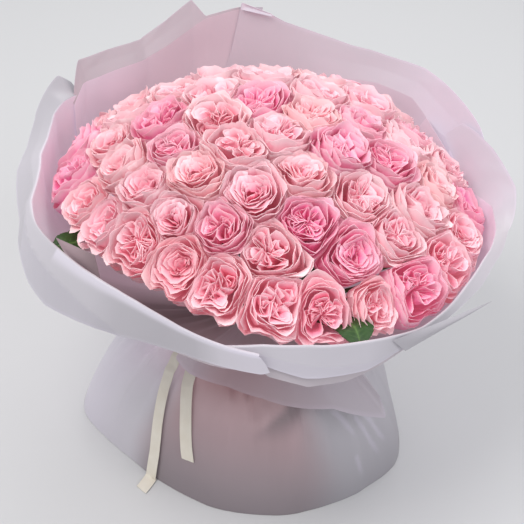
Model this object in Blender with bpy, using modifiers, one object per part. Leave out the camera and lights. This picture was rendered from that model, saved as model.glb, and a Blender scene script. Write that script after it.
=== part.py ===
"""Hand-tied bouquet of garden roses in frosted film, standing on its stem ends.

Metres, +Z up.  The bouquet's axis is vertical and the floor is z = 0.
Azimuths are counter-clockwise from +X seen from above, so the front is -90 degrees.
"""
import math
import random

import bpy
import bmesh
from mathutils import Vector

# ---------------------------------------------------------------- driving dimensions

BLOOM_COUNT = 68
SPRAYS = 17                  # stems that fork, with a second bloom on a side shoot
DOME_RADIUS = 0.250          # outside of the dome of blooms
DOME_RISE = 0.118            # from the dome's widest ring to its top
DOME_BASE_Z = 0.353          # height of the dome's widest ring
TIE_Z = 0.185                # where the stems are bound

BLOOM_RADIUS = 0.0350
BLOOM_DEPTH = 0.058          # from the stem's top to the petals' tips
BLOOM_RISE = 0.004           # how far one bloom may sit above or below the dome
BLOOM_SIZES = (0.95, 1.03)   # smallest and largest bloom, as shares of BLOOM_RADIUS
BLOOM_GAP = 0.00018          # a bloom's half of the gap to its neighbour
OUTER_BLOOM_ANGLE = 49.0     # axis of the outermost blooms, degrees from vertical
DOME_TUCK = 0.03             # how far up the dome its outermost blooms are drawn, as a share
DOME_TUCK_LEFT = 0.13        # and how much further on the front left
DOME_TUCK_AT = -122
DOME_TUCK_REACH = 34
DOME_TUCK_POWER = 0.6        # lower draws the inner blooms up with them
STEM_RADIUS = 0.0025
SHOOT_RADIUS = 0.0020
SPRAY_FORK = 0.5             # where they fork, from the tie to the main bloom
STEM_SPREAD_TIE = 0.0336     # outermost stem's distance from the axis at the tie
STEM_SPREAD_FLOOR = 0.135    # and on the floor

FILM = 0.0005                # thickness of a film sheet
LAYER = 0.0013               # step from one overlapping sheet to the next
NECK_RADIUS = 0.0420         # inside of the film at the tie
WRAP_BOTTOM_Z = TIE_Z + 0.001
WRAP_FLARE_Z = TIE_Z + 0.0094    # where the wrap leaves the gathered neck
SKIRT_TOP_Z = TIE_Z - 0.001
SKIRT_FLARE_Z = TIE_Z - 0.0098   # where the skirt leaves it
HEM_Z = 0.0004                   # middle of the film at the skirt's hem
SKIRT_NECK = NECK_RADIUS + 3 * LAYER

TWINE_HEIGHT = 0.014
TWINE_INNER = 0.0386
TWINE_THICKNESS = 0.0024
RIBBON_WIDTH = 0.016
RIBBON_THICKNESS = 0.0008

SIDES = 9                    # sides of a rose's cross-sections
SHARP_ANGLE = 50             # edges that turn more than this are shaded sharp

# ---------------------------------------------------------------- derived sizes

SPHERE_RADIUS = (DOME_RADIUS ** 2 + DOME_RISE ** 2) / (2 * DOME_RISE)
FOCUS = Vector((0, 0, DOME_BASE_Z + DOME_RISE - SPHERE_RADIUS))
BLOOM_BASE = SPHERE_RADIUS - BLOOM_DEPTH

# A bloom's outline: (share of its depth, share of its radius)
BLOOM_OUTLINE = [(0.06, 0.20), (0.20, 0.56), (0.42, 0.90), (0.66, 1.0), (0.88, 0.84), (0.98, 0.46)]

# The wrap's wall, from the tie outwards: (distance from the axis, height)
WALL = [(NECK_RADIUS, WRAP_BOTTOM_Z), (NECK_RADIUS + 0.0003, WRAP_FLARE_Z), (0.060, 0.202),
        (0.115, 0.222), (0.180, 0.251), (0.243, 0.291), (0.271, 0.334), (0.281, 0.380),
        (0.285, 0.425), (0.288, 0.475)]

COLUMN_STEP = 7.5            # degrees between a sheet's columns
COLUMN_MARGIN = 1.5          # least distance from a sheet's end to its first inner column
WALL_LEVELS = [WRAP_BOTTOM_Z, WRAP_FLARE_Z, 0.202, 0.213, 0.232, 0.262, 0.300, 0.334, 0.380, 0.414]
EDGE_BAND = 0.002            # height of the last row of faces under a sheet's upper edge
ROW_STEP = 0.001             # least height of a row of faces where the edge is low
WALL_PLEATS = 10             # soft pleats round the wall, and their depth
WALL_PLEAT_DEPTH = 0.0016
WALL_OPENS = 0.12            # height over which the wall goes from pleated to smooth
LAYER_DROP = 0.9             # how much of a layer's step goes downwards where the wall lies flat

# The rim's radius: six shallow scallops, and a flatter stretch on the left
RIM_SHARE = 0.991
RIM_SCALLOP = 0.009
RIM_SCALLOPS = 6
RIM_SCALLOP_AT = 104
RIM_FLAT = 0.026
RIM_FLAT_AT = 188
RIM_FLAT_REACH = 60

# How upright the wall is, for laying one sheet over another: (height, share)
WALL_STEEPNESS = [(WRAP_BOTTOM_Z, 1.0), (WRAP_FLARE_Z, 0.75), (0.204, 0.5), (0.250, 0.55),
                  (0.340, 0.9), (0.480, 1.0)]

# The skirt: columns round it, rows down it, and its pleats
SKIRT_COLUMNS = 45
SKIRT_ROWS = [0, 0.10, 0.22, 0.38, 0.56, 0.78, 1.0]
SKIRT_PLEATS = 9
SKIRT_PLEAT_DEPTH = 0.0035
SKIRT_LIFT = 0.8             # how far a step off the skirt rises, for each metre outwards
SKIRT_HOLLOW = 0.055         # how far the lower skirt draws in before it runs out to the hem
SKIRT_HOLLOW_POWER = 1.6

# The skirt's hem: (azimuth, distance from the axis)
HEM = [(-170, 0.216), (-150, 0.192), (-120, 0.182), (-90, 0.190), (-60, 0.200), (-37, 0.207),
       (-20, 0.220), (10, 0.200), (50, 0.196), (90, 0.198), (130, 0.196), (165, 0.202)]

# Each sheet's upper edge, as (azimuth, height), and the layer that the sheet lies on
SHEETS = {
    "wrap_right": ([(-90, 0.360), (-60, 0.357), (-36, 0.350), (-18, 0.368), (0, 0.392),
                    (14, 0.390), (30, 0.392)], 0),
    "wrap_back_right": ([(22.5, 0.396), (45, 0.412), (52, 0.423), (70, 0.421), (87, 0.431),
                         (105, 0.459)], 1),
    "wrap_back_left": ([(97.5, 0.430), (112.5, 0.442), (120, 0.466), (131, 0.420), (145, 0.417),
                        (150, 0.424), (157.5, 0.390)], 2),
    "wrap_left": ([(150, 0.398), (157.5, 0.424), (170, 0.398), (188, 0.374), (210, 0.376),
                   (235, 0.383), (258, 0.367), (269.6, 0.361)], 3),
}

# Turned-out cuffs: (azimuth, drop below the sheet's upper edge)
CUFFS = {
    "wrap_right": [(-90, 0.036), (-72, 0.044), (-55, 0.036), (-37, 0.022), (-22, 0.010)],
    "wrap_left": [(165, 0.012), (180, 0.030), (200, 0.054), (214, 0.074), (232, 0.056),
                  (255, 0.030), (269.6, 0.018)],
}
CUFF_SPREAD = 0.26           # how far a cuff leans out for each metre that it drops
CUFF_CLEARANCE = 0.0035
CUFF_FADE = 0.003            # spacing of a cuff's rows where the sheet runs out flat beside it

random.seed(51)


def clearScene():
    for item in list(bpy.data.objects):
        bpy.data.objects.remove(item, do_unlink=True)


def smoothAlong(rows, x):
    """Smooth value at x through (x, y) rows, held level past the table's ends."""
    if x <= rows[0][0]:
        return rows[0][1]
    if x >= rows[-1][0]:
        return rows[-1][1]
    k = next(i for i in range(len(rows) - 1) if x <= rows[i + 1][0])
    x1, y1 = rows[k]
    x2, y2 = rows[k + 1]
    x0, y0 = rows[k - 1] if k else (2 * x1 - x2, y1)
    x3, y3 = rows[k + 2] if k + 2 < len(rows) else (2 * x2 - x1, y2)
    t = (x - x1) / (x2 - x1)
    slope1 = (y2 - y0) / (x2 - x0) * (x2 - x1)
    slope2 = (y3 - y1) / (x3 - x1) * (x2 - x1)
    return ((2 * t ** 3 - 3 * t ** 2 + 1) * y1 + (t ** 3 - 2 * t ** 2 + t) * slope1
            + (3 * t ** 2 - 2 * t ** 3) * y2 + (t ** 3 - t ** 2) * slope2)


def polar(azimuth, radius, z):
    a = math.radians(azimuth)
    return Vector((radius * math.cos(a), radius * math.sin(a), z))


def principled(name, color, roughness):
    material = bpy.data.materials.new(name)
    material.use_nodes = True
    shader = material.node_tree.nodes["Principled BSDF"]
    shader.inputs["Base Color"].default_value = (*color, 1)
    shader.inputs["Roughness"].default_value = roughness
    shader.inputs["Metallic"].default_value = 0
    return material


def addMesh(name, vertices, faces, material, collection):
    mesh = bpy.data.meshes.new(name)
    mesh.from_pydata([tuple(v) for v in vertices], [], faces)
    mesh.materials.append(material)
    mesh.shade_smooth()
    mesh.set_sharp_from_angle(angle=math.radians(SHARP_ANGLE))
    piece = bpy.data.objects.new(name, mesh)
    collection.objects.link(piece)
    return piece


def loft(rings, closeEnds=True, closeRound=True):
    """Faces that join equal rings of points in order, as (vertices, faces)."""
    count = len(rings[0])
    vertices = [point for ring in rings for point in ring]
    faces = []
    for row in range(len(rings) - 1):
        for k in range(count if closeRound else count - 1):
            a = row * count + k
            b = row * count + (k + 1) % count
            faces.append((a, b, b + count, a + count))
    if closeEnds:
        faces.append(tuple(reversed(range(count))))
        faces.append(tuple(range(len(vertices) - count, len(vertices))))
    return vertices, faces


# ---------------------------------------------------------------- roses

REPULSION = 6e-5             # how strongly the blooms push each other apart
REPULSION_REACH = 0.40       # distance on the unit sphere past which they don't
REPULSION_ROUNDS = 80
FIRST_BLOOM = 0.35           # how far down the spiral the first bloom sits, in blooms
FACING = 0.02                # least share of a neighbour's axis that counts as towards it
OPEN_SLOPE = 10.0            # limit of a bloom with no neighbour on that side


def bloomAxes():
    """Axes of the blooms: a sunflower spiral over the dome, evened out by repulsion."""
    golden = math.pi * (3 - math.sqrt(5))
    rise = 1 - math.cos(math.radians(OUTER_BLOOM_ANGLE))
    axes = []
    for k in range(BLOOM_COUNT):
        z = 1 - rise * (k + FIRST_BLOOM) / (BLOOM_COUNT - 1 + FIRST_BLOOM)
        flat = math.sqrt(1 - z * z)
        axes.append(Vector((flat * math.cos(k * golden), flat * math.sin(k * golden), z)))
    lowest = math.cos(math.radians(OUTER_BLOOM_ANGLE))
    for _ in range(REPULSION_ROUNDS):
        pushes = []
        for a in axes:
            push = Vector((0, 0, 0))
            for b in axes:
                apart = a - b
                distance = apart.length
                if 0 < distance < REPULSION_REACH:
                    push += apart / distance ** 4
            pushes.append(push)
        for a, push in zip(axes, pushes):
            a += push * REPULSION
            a.normalize()
            if a.z < lowest:
                flat = math.sqrt(1 - lowest ** 2) / math.hypot(a.x, a.y)
                a.x, a.y, a.z = a.x * flat, a.y * flat, lowest
    return axes


def tuckedUp(axis):
    """A bloom's axis, drawn up towards the top of the dome, most on the front left."""
    tilt = math.acos(axis.z)
    if tilt < 1e-6:
        return axis
    away = (math.degrees(math.atan2(axis.y, axis.x)) - DOME_TUCK_AT + 180) % 360 - 180
    tuck = DOME_TUCK + DOME_TUCK_LEFT * math.exp(-(away / DOME_TUCK_REACH) ** 2)
    drawn = tilt * (1 - tuck * (tilt / math.radians(OUTER_BLOOM_ANGLE)) ** DOME_TUCK_POWER)
    flat = math.sin(drawn) / math.sin(tilt)
    return Vector((axis.x * flat, axis.y * flat, math.cos(drawn)))


def frameOf(axis):
    """Two directions across an axis: away from the bouquet's middle, and round it."""
    away = Vector((axis.x, axis.y, 0))
    away = away.normalized() if away.length > 1e-6 else Vector((1, 0, 0))
    side = Vector((0, 0, 1)).cross(away)
    return side.cross(axis).normalized(), side


def cellSlope(axes, index, direction):
    """Tangent of the widest angle that bloom `index` may take towards `direction`."""
    own = axes[index]
    slope = OPEN_SLOPE
    for k, other in enumerate(axes):
        towards = other.dot(direction)
        if k != index and towards > FACING:
            slope = min(slope, (1 - own.dot(other)) / towards)
    return slope


def stemPoint(base):
    """Where a stem crosses the tie, from the bloom base that it reaches.

    The stems are tied in a spiral: they all turn the same way round the axis and never cross.
    """
    away = math.hypot(base.x, base.y)
    rise = base.z - TIE_Z
    widest = math.radians(OUTER_BLOOM_ANGLE * (1 - DOME_TUCK))
    outer = FOCUS + BLOOM_BASE * Vector((math.sin(widest), 0, math.cos(widest)))
    turn = math.sqrt((outer.x / STEM_SPREAD_TIE) ** 2 - 1) / (outer.z - TIE_Z)
    shrink = math.sqrt(1 + (turn * rise) ** 2)
    angle = math.atan2(base.y, base.x) - math.atan(turn * rise)
    return Vector((away / shrink * math.cos(angle), away / shrink * math.sin(angle), 0))


def ringAround(centre, normal, radius, guide):
    side = normal.cross(guide).normalized()
    away = side.cross(normal).normalized()
    points = []
    for k in range(SIDES):
        a = 2 * math.pi * k / SIDES
        points.append(centre + radius * (math.cos(a) * away + math.sin(a) * side))
    return points


def bloomRings(index, axes, lift, size):
    """Rings of points up a bloom, from the top of its stem to the petals' tips."""
    axis = axes[index]
    away, side = frameOf(axis)
    rings = []
    for depthShare, radiusShare in BLOOM_OUTLINE:
        height = BLOOM_BASE + lift + depthShare * BLOOM_DEPTH
        ring = []
        for k in range(SIDES):
            a = 2 * math.pi * k / SIDES
            direction = math.cos(a) * away + math.sin(a) * side
            widest = height * cellSlope(axes, index, direction) - BLOOM_GAP
            radius = min(radiusShare * BLOOM_RADIUS * size, widest)
            ring.append(FOCUS + axis * height + direction * radius)
        rings.append(ring)
    return rings


def makeRose(name, index, shoot, axes, material, collection, cutters):
    """A rose on its stem, with a second bloom on a side shoot where `shoot` is its index."""
    axis = axes[index]
    away, _ = frameOf(axis)
    lift = BLOOM_RISE * random.uniform(-1, 1)
    base = FOCUS + axis * (BLOOM_BASE + lift)
    tie = stemPoint(base)
    turnBelow = math.sqrt((STEM_SPREAD_FLOOR / STEM_SPREAD_TIE) ** 2 - 1)
    foot = tie - turnBelow * Vector((-tie.y, tie.x, 0))
    middle = Vector((tie.x, tie.y, TIE_Z))
    upper = (base - middle).normalized()
    lower = (middle - foot).normalized()
    rings = [ringAround(foot, Vector((0, 0, 1)), STEM_RADIUS, away)]
    rings.append(ringAround(middle, (upper + lower).normalized(), STEM_RADIUS, away))
    rings.append(ringAround(base, (upper + axis).normalized(), STEM_RADIUS, away))
    rings += bloomRings(index, axes, lift, random.uniform(*BLOOM_SIZES))
    vertices, faces = loft(rings)
    rose = addMesh(name, vertices, faces, material, collection)
    if shoot is not None:
        fork = middle.lerp(base, SPRAY_FORK)
        axis = axes[shoot]
        away, _ = frameOf(axis)
        lift = BLOOM_RISE * random.uniform(-1, 1)
        base = FOCUS + axis * (BLOOM_BASE + lift)
        along = (base - fork).normalized()
        rings = [ringAround(fork, along, SHOOT_RADIUS, away),
                 ringAround(base, (along + axis).normalized(), SHOOT_RADIUS, away)]
        rings += bloomRings(shoot, axes, lift, random.uniform(*BLOOM_SIZES))
        vertices, faces = loft(rings)
        second = addMesh(name + "_shoot", vertices, faces, material, cutters)
        hideCutter(second)
        join = rose.modifiers.new("Shoot", "BOOLEAN")
        join.operation = "UNION"
        join.object = second
    return rose


def sprays(axes):
    """Neighbouring blooms that share a stem, as {main bloom: the one on its side shoot}."""
    lowest = math.cos(math.radians(OUTER_BLOOM_ANGLE - OUTER_RING))
    inner = [k for k, axis in enumerate(axes) if axis.z >= lowest]
    free, shared = set(inner), {}
    for main in inner:
        if main in free and len(shared) < SPRAYS:
            free.remove(main)
            shared[main] = max(free, key=lambda k: axes[k].dot(axes[main]))
            free.remove(shared[main])
    return shared


# ---------------------------------------------------------------- film

def rimShare(azimuth):
    """Share of the full radius: the film is pulled flatter between its corners and on the left."""
    away = min(1, abs(azimuth - RIM_FLAT_AT) / RIM_FLAT_REACH)
    flat = RIM_FLAT * (1 + math.cos(math.pi * away)) / 2
    scallop = RIM_SCALLOP * math.cos(math.radians(RIM_SCALLOPS * (azimuth - RIM_SCALLOP_AT)))
    return RIM_SHARE + scallop - flat


def wallPoint(azimuth, z, layer):
    """A point on the wrap's wall at a height, on one of its overlapping layers."""
    lift = min(max((z - WRAP_FLARE_Z) / WALL_OPENS, 0), 1)
    rows = [(height, radius) for radius, height in WALL]
    radius = smoothAlong(rows, z) * (1 + lift * (rimShare(azimuth) - 1))
    steep = smoothAlong(WALL_STEEPNESS, z)
    depth = WALL_PLEAT_DEPTH * (1 - lift) * min(lift * 8, 1)
    outward = layer * LAYER + depth * math.sin(math.radians(WALL_PLEATS * azimuth))
    return polar(azimuth, radius + outward * steep, z - outward * (1 - steep) * LAYER_DROP)


def sheetAzimuths(first, last):
    """A sheet's columns: the same grid for every sheet, so that they lie over each other."""
    steps = range(round(first / COLUMN_STEP) - 1, round(last / COLUMN_STEP) + 2)
    low = first + COLUMN_MARGIN
    high = last - COLUMN_MARGIN
    return [first] + [k * COLUMN_STEP for k in steps if low < k * COLUMN_STEP < high] + [last]


def makeSheet(name, material, collection):
    edge, layer = SHEETS[name]
    cuff = CUFFS.get(name)
    first, last = edge[0][0], edge[-1][0]
    rows = []
    for azimuth in sheetAzimuths(first, last):
        top = smoothAlong(edge, azimuth)
        folded = cuff and cuff[0][0] <= azimuth <= cuff[-1][0]
        upper = [top - 2 * CUFF_FADE, top - CUFF_FADE, top] if cuff and not folded else [top]
        highest = upper[0] - EDGE_BAND
        below = len(WALL_LEVELS)
        levels = [min(z, highest - ROW_STEP * (below - k)) for k, z in enumerate(WALL_LEVELS)]
        row = [wallPoint(azimuth, z, layer) for z in levels + upper]
        if folded:
            drop = smoothAlong(cuff, azimuth)
            out = Vector((row[-1].x, row[-1].y, 0)).normalized()
            row.append(row[-1] + out * CUFF_CLEARANCE)
            row.append(row[-1] + out * (drop * CUFF_SPREAD) - Vector((0, 0, drop)))
        rows.append(row)
    vertices, faces = loft(rows, closeEnds=False, closeRound=False)
    piece = addMesh(name, vertices, faces, material, collection)
    thicken(piece, FILM)
    return piece


def thicken(piece, thickness):
    solidify = piece.modifiers.new("thickness", "SOLIDIFY")
    solidify.thickness = thickness
    solidify.offset = 0
    solidify.use_even_offset = True


def skirtPoint(azimuth, share, outward=0.0):
    """A point on the skirt, from share 0 at the neck to share 1 at the hem."""
    rows = HEM + [(a + 360, r) for a, r in HEM[:3]]
    rows = [(a - 360, r) for a, r in HEM[-3:]] + rows
    hem = smoothAlong(rows, azimuth if azimuth >= -180 else azimuth + 360)
    turn = share * math.pi / 2
    hollow = SKIRT_HOLLOW * math.sin(math.pi * share ** SKIRT_HOLLOW_POWER)
    radius = SKIRT_NECK + (hem - SKIRT_NECK) * (math.sin(turn) - hollow)
    z = HEM_Z + (SKIRT_FLARE_Z - HEM_Z) * math.cos(turn)
    depth = SKIRT_PLEAT_DEPTH * math.sin(2 * turn) * (1 - share)
    out = outward + depth * math.sin(math.radians(SKIRT_PLEATS * azimuth))
    return polar(azimuth, radius + out * math.sin(turn), z + out * math.cos(turn) * SKIRT_LIFT)


def makeSkirt(material, collection):
    azimuths = [-180 + 360 * k / SKIRT_COLUMNS for k in range(SKIRT_COLUMNS)]
    rings = [[polar(azimuth, SKIRT_NECK, SKIRT_TOP_Z) for azimuth in azimuths]]
    for share in SKIRT_ROWS:
        rings.append([skirtPoint(azimuth, share) for azimuth in azimuths])
    vertices, faces = loft(rings, closeEnds=False)
    piece = addMesh("wrap_skirt", vertices, [tuple(reversed(f)) for f in faces], material, collection)
    thicken(piece, FILM)
    return piece


# ---------------------------------------------------------------- bindings

TWINE_STEPS = 32             # flats round each band
BAND_STEPS = 40


def makeRing(name, inner, thickness, height, steps, material, collection):
    """A band round the tie: its section, turned once by a Screw modifier."""
    outer = inner + thickness
    low = TIE_Z - height / 2
    high = TIE_Z + height / 2
    mesh = bpy.data.meshes.new(name)
    section = [(inner, 0, high), (outer, 0, high), (outer, 0, low), (inner, 0, low)]
    mesh.from_pydata(section, [(0, 1), (1, 2), (2, 3), (3, 0)], [])
    mesh.materials.append(material)
    ring = bpy.data.objects.new(name, mesh)
    collection.objects.link(ring)
    screw = ring.modifiers.new("turn", "SCREW")
    screw.axis = "Z"
    screw.angle = 2 * math.pi
    screw.steps = steps
    screw.render_steps = steps
    screw.use_merge_vertices = True
    screw.merge_threshold = 0.0001
    return ring


def makeTwine(material, collection):
    return makeRing("binding_twine", TWINE_INNER, TWINE_THICKNESS, TWINE_HEIGHT, TWINE_STEPS,
                    material, collection)


# Each tail's route down the skirt: (azimuth, share of the way from the neck to the hem).
# Past 1 it lies on the floor.
TAILS = [
    [(-140, 0.14), (-139, 0.30), (-137, 0.44), (-134.5, 0.55), (-131, 0.68), (-127.5, 0.82),
     (-126, 0.93), (-125, 1.2), (-124, 1.6)],
    [(-122, 0.14), (-128, 0.30), (-124, 0.44), (-119.5, 0.56), (-115, 0.69), (-111, 0.81)],
]
TAIL_CLEARANCE = 0.0042      # from the skirt's middle to the tail
FLOOR_REACH = 0.04           # how far out a tail lies for each whole share past 1
TAIL_SLANT = 0.30            # slant of a tail's cut end, as a share of its width
BAND_INNER = SKIRT_NECK + FILM / 2 + 0.0004
TAIL_ROOT = 0.0006           # how deep in the band a tail starts, and how far below its middle
TAIL_ROOT_DROP = 0.003


def tailSolid(route, width, thickness):
    """One tail of the ribbon: a strip with a slanting end, as (vertices, faces)."""
    centres = [polar(route[0][0], BAND_INNER + TAIL_ROOT, TIE_Z - TAIL_ROOT_DROP)]
    outwards = [polar(route[0][0], 1, 0)]
    for azimuth, share in route:
        if share <= 1:
            centre = skirtPoint(azimuth, share, TAIL_CLEARANCE)
            centres.append(centre)
            outwards.append((skirtPoint(azimuth, share, 2 * TAIL_CLEARANCE) - centre).normalized())
        else:
            hem = skirtPoint(azimuth, 1, TAIL_CLEARANCE + (share - 1) * FLOOR_REACH)
            centres.append(Vector((hem.x, hem.y, HEM_Z)))
            outwards.append(Vector((0, 0, 1)))
    rings = []
    for k, (centre, outward) in enumerate(zip(centres, outwards)):
        along = (centres[min(k + 1, len(centres) - 1)] - centres[max(k - 1, 0)]).normalized()
        across = outward.cross(along).normalized()
        slant = along * (TAIL_SLANT * width if k + 1 == len(centres) else 0)
        left = centre - across * width / 2 - slant
        right = centre + across * width / 2 + slant
        rings.append([left, right, right + outward * thickness, left + outward * thickness])
    return loft(rings)


def makeRibbon(material, collection, cutters):
    band = makeRing("ribbon", BAND_INNER, 2 * RIBBON_THICKNESS, RIBBON_WIDTH, BAND_STEPS,
                    material, collection)
    for k, route in enumerate(TAILS):
        vertices, faces = tailSolid(route, RIBBON_WIDTH, RIBBON_THICKNESS)
        tail = addMesh("tail_%d" % k, vertices, faces, material, cutters)
        fixNormals(tail)
        hideCutter(tail)
        join = band.modifiers.new("tail_%d" % k, "BOOLEAN")
        join.operation = "UNION"
        join.object = tail
    return band


def fixNormals(piece):
    clean = bmesh.new()
    clean.from_mesh(piece.data)
    bmesh.ops.recalc_face_normals(clean, faces=clean.faces)
    clean.to_mesh(piece.data)
    clean.free()


def hideCutter(piece):
    piece.hide_render = True
    piece.display_type = "WIRE"


# ---------------------------------------------------------------- leaves

# Each leaf grows on an outer rose's stem and comes out beside its bloom: (name, azimuth, width)
LEAVES = [("leaf_left", -156, 0.030), ("leaf_front", -69, 0.034)]
LEAF_THICKNESS = 0.0012
LEAF_CREASE = 0.0012         # how far the rib lies below the leaf's edges
LEAF_STALK = 0.0024          # width at the stalk
LEAF_JOINT = 0.90            # where on the stem the leaf grows, from the tie to the bloom
LEAF_GAP = 0.0004            # from the stem to the leaf's face
LEAF_TURN_ROWS = 4           # rows over which the leaf turns from the stem into the notch
OUTER_RING = 3               # degrees inside the outermost bloom that still count as outer
# The leaf's rib, from its stalk to its tip: (distance from the axis, height)
LEAF_RIB = [(0.205, 0.3010), (0.218, 0.3025), (0.231, 0.3050), (0.243, 0.3105),
            (0.2515, 0.3210), (0.2565, 0.3340), (0.2590, 0.3450)]
LEAF_OUTLINE = [0.08, 0.55, 0.88, 1.0, 0.92, 0.62, 0.06]


def outerRoses(axes):
    """(azimuth, axis) of the outermost blooms, in order round the bouquet."""
    lowest = math.cos(math.radians(OUTER_BLOOM_ANGLE - OUTER_RING))
    outer = [a for a in axes if a.z < lowest]
    return sorted((math.degrees(math.atan2(a.y, a.x)), tuple(tuckedUp(a))) for a in outer)


def makeLeaf(name, wanted, width, axes, material, collection):
    around = outerRoses(axes)
    pairs = list(zip(around, around[1:]))
    notches = [abs((before[0] + after[0]) / 2 - wanted) for before, after in pairs]
    (before, axis), (after, _) = pairs[notches.index(min(notches))]
    base = FOCUS + Vector(axis) * BLOOM_BASE
    middle = stemPoint(base) + Vector((0, 0, TIE_Z))
    along = (base - middle).normalized()
    outward = Vector((base.x, base.y, 0)).normalized()
    across = (outward - outward.dot(along) * along).normalized()
    joint = middle.lerp(base, LEAF_JOINT) + across * (STEM_RADIUS + LEAF_THICKNESS / 2 + LEAF_GAP)
    side = polar(before + 90, LEAF_STALK / 2, 0)
    rows = [[joint - side, joint, joint + side]]
    for k, ((radius, z), share) in enumerate(zip(LEAF_RIB, LEAF_OUTLINE)):
        turn = min(1, (k + 1) / LEAF_TURN_ROWS)
        azimuth = before + (after - before) / 2 * turn * turn * (3 - 2 * turn)
        centre = polar(azimuth, radius, z)
        half = polar(azimuth + 90, share * width / 2, 0)
        rows.append([centre - half, centre - Vector((0, 0, LEAF_CREASE)), centre + half])
    vertices, faces = loft(rows, closeEnds=False, closeRound=False)
    piece = addMesh(name, vertices, faces, material, collection)
    thicken(piece, LEAF_THICKNESS)
    return piece


# ---------------------------------------------------------------- the bouquet

def centreOnOrigin(pieces):
    """Slide everything so that the bouquet's box stands centred on the origin."""
    bpy.context.view_layer.update()
    graph = bpy.context.evaluated_depsgraph_get()
    corners = []
    for piece in pieces:
        shape = piece.evaluated_get(graph)
        mesh = shape.to_mesh()
        corners += [v.co.copy() for v in mesh.vertices]
        shape.to_mesh_clear()
    slide = Vector((-(min(c.x for c in corners) + max(c.x for c in corners)) / 2,
                    -(min(c.y for c in corners) + max(c.y for c in corners)) / 2,
                    -min(c.z for c in corners)))
    for item in bpy.data.objects:
        item.location += slide
    print("slide", [round(v, 5) for v in slide])


def build():
    clearScene()
    bouquet = bpy.data.collections.new("rose_bouquet")
    cutters = bpy.data.collections.new("cutters")
    bpy.context.scene.collection.children.link(bouquet)
    bpy.context.scene.collection.children.link(cutters)

    petals = principled("petals", (0.86, 0.42, 0.46), 0.6)
    film = principled("film", (0.80, 0.74, 0.79), 0.45)
    twine = principled("twine", (0.55, 0.42, 0.26), 0.9)
    satin = principled("ribbon", (0.74, 0.70, 0.62), 0.45)
    foliage = principled("foliage", (0.03, 0.10, 0.02), 0.5)

    axes = bloomAxes()
    drawn = [tuckedUp(axis) for axis in axes]
    shared = sprays(axes)
    mains = [k for k in range(BLOOM_COUNT) if k not in shared.values()]
    pieces = []
    for number, k in enumerate(mains):
        pieces.append(makeRose("rose_%02d" % (number + 1), k, shared.get(k), drawn, petals, bouquet, cutters))
    pieces += [makeSheet(name, film, bouquet) for name in SHEETS]
    pieces.append(makeSkirt(film, bouquet))
    pieces.append(makeTwine(twine, bouquet))
    pieces.append(makeRibbon(satin, bouquet, cutters))
    for name, wanted, width in LEAVES:
        pieces.append(makeLeaf(name, wanted, width, axes, foliage, bouquet))
    centreOnOrigin(pieces)


build()
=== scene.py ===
# Hand-tied bouquet of garden roses in frosted film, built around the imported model.
# Lengths are metres, +Z is up, azimuths are degrees counter-clockwise from +X, so the front is -90.
import bpy
import math
import random
from mathutils import Matrix, Vector, noise


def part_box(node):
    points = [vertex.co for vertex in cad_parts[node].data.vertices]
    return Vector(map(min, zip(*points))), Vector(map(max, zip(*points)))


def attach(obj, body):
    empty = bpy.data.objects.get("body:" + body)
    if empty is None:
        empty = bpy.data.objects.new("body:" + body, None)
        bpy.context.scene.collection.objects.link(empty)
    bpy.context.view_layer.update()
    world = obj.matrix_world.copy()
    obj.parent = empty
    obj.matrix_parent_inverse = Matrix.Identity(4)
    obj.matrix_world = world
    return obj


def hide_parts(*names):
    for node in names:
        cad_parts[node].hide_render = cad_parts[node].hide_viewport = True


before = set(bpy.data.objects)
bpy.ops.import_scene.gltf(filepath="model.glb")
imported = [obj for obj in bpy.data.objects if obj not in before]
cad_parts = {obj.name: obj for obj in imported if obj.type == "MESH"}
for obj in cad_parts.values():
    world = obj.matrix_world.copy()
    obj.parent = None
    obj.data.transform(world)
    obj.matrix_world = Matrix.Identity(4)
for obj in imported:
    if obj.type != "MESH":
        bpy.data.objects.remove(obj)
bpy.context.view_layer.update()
bpy.ops.object.select_all(action="DESELECT")

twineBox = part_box("binding_twine")
axisX = (twineBox[0][0] + twineBox[1][0]) / 2
axisY = (twineBox[0][1] + twineBox[1][1]) / 2
tieHeight = (twineBox[0][2] + twineBox[1][2]) / 2

camera = {"aimHeight": 0.2458, "distance": 1.409, "tilt": 37.6, "roll": 6.6, "lens": 78.3}
studio = {"floor": (0.60, 0.60, 0.61), "world": 0.62, "floorSize": 14}


def polar(azimuth, radius, z):
    turn = math.radians(azimuth)
    return Vector((axisX + radius * math.cos(turn), axisY + radius * math.sin(turn), z))


# the horizontal direction at an azimuth
def outwards(azimuth):
    turn = math.radians(azimuth)
    return Vector((math.cos(turn), math.sin(turn), 0))


def smoothStep(low, high, x):
    t = min(max((x - low) / (high - low), 0), 1)
    return t * t * (3 - 2 * t)


# smooth value at x through (x, y) rows, held level past both ends
def through(rows, x):
    if x <= rows[0][0]:
        return rows[0][1]
    if x >= rows[-1][0]:
        return rows[-1][1]
    k = next(i for i in range(len(rows) - 1) if x <= rows[i + 1][0])
    (x1, y1), (x2, y2) = rows[k], rows[k + 1]
    x0, y0 = rows[k - 1] if k else (2 * x1 - x2, y1)
    x3, y3 = rows[k + 2] if k + 2 < len(rows) else (2 * x2 - x1, y2)
    t = (x - x1) / (x2 - x1)
    rise1 = (y2 - y0) / (x2 - x0) * (x2 - x1)
    rise2 = (y3 - y1) / (x3 - x1) * (x2 - x1)
    return ((2 * t ** 3 - 3 * t ** 2 + 1) * y1 + (t ** 3 - 2 * t ** 2 + t) * rise1
            + (3 * t ** 2 - 2 * t ** 3) * y2 + (t ** 3 - t ** 2) * rise2)


def pickOnly(*pieces):
    bpy.ops.object.select_all(action="DESELECT")
    for piece in pieces:
        piece.select_set(True)
    bpy.context.view_layer.objects.active = pieces[0]


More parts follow.
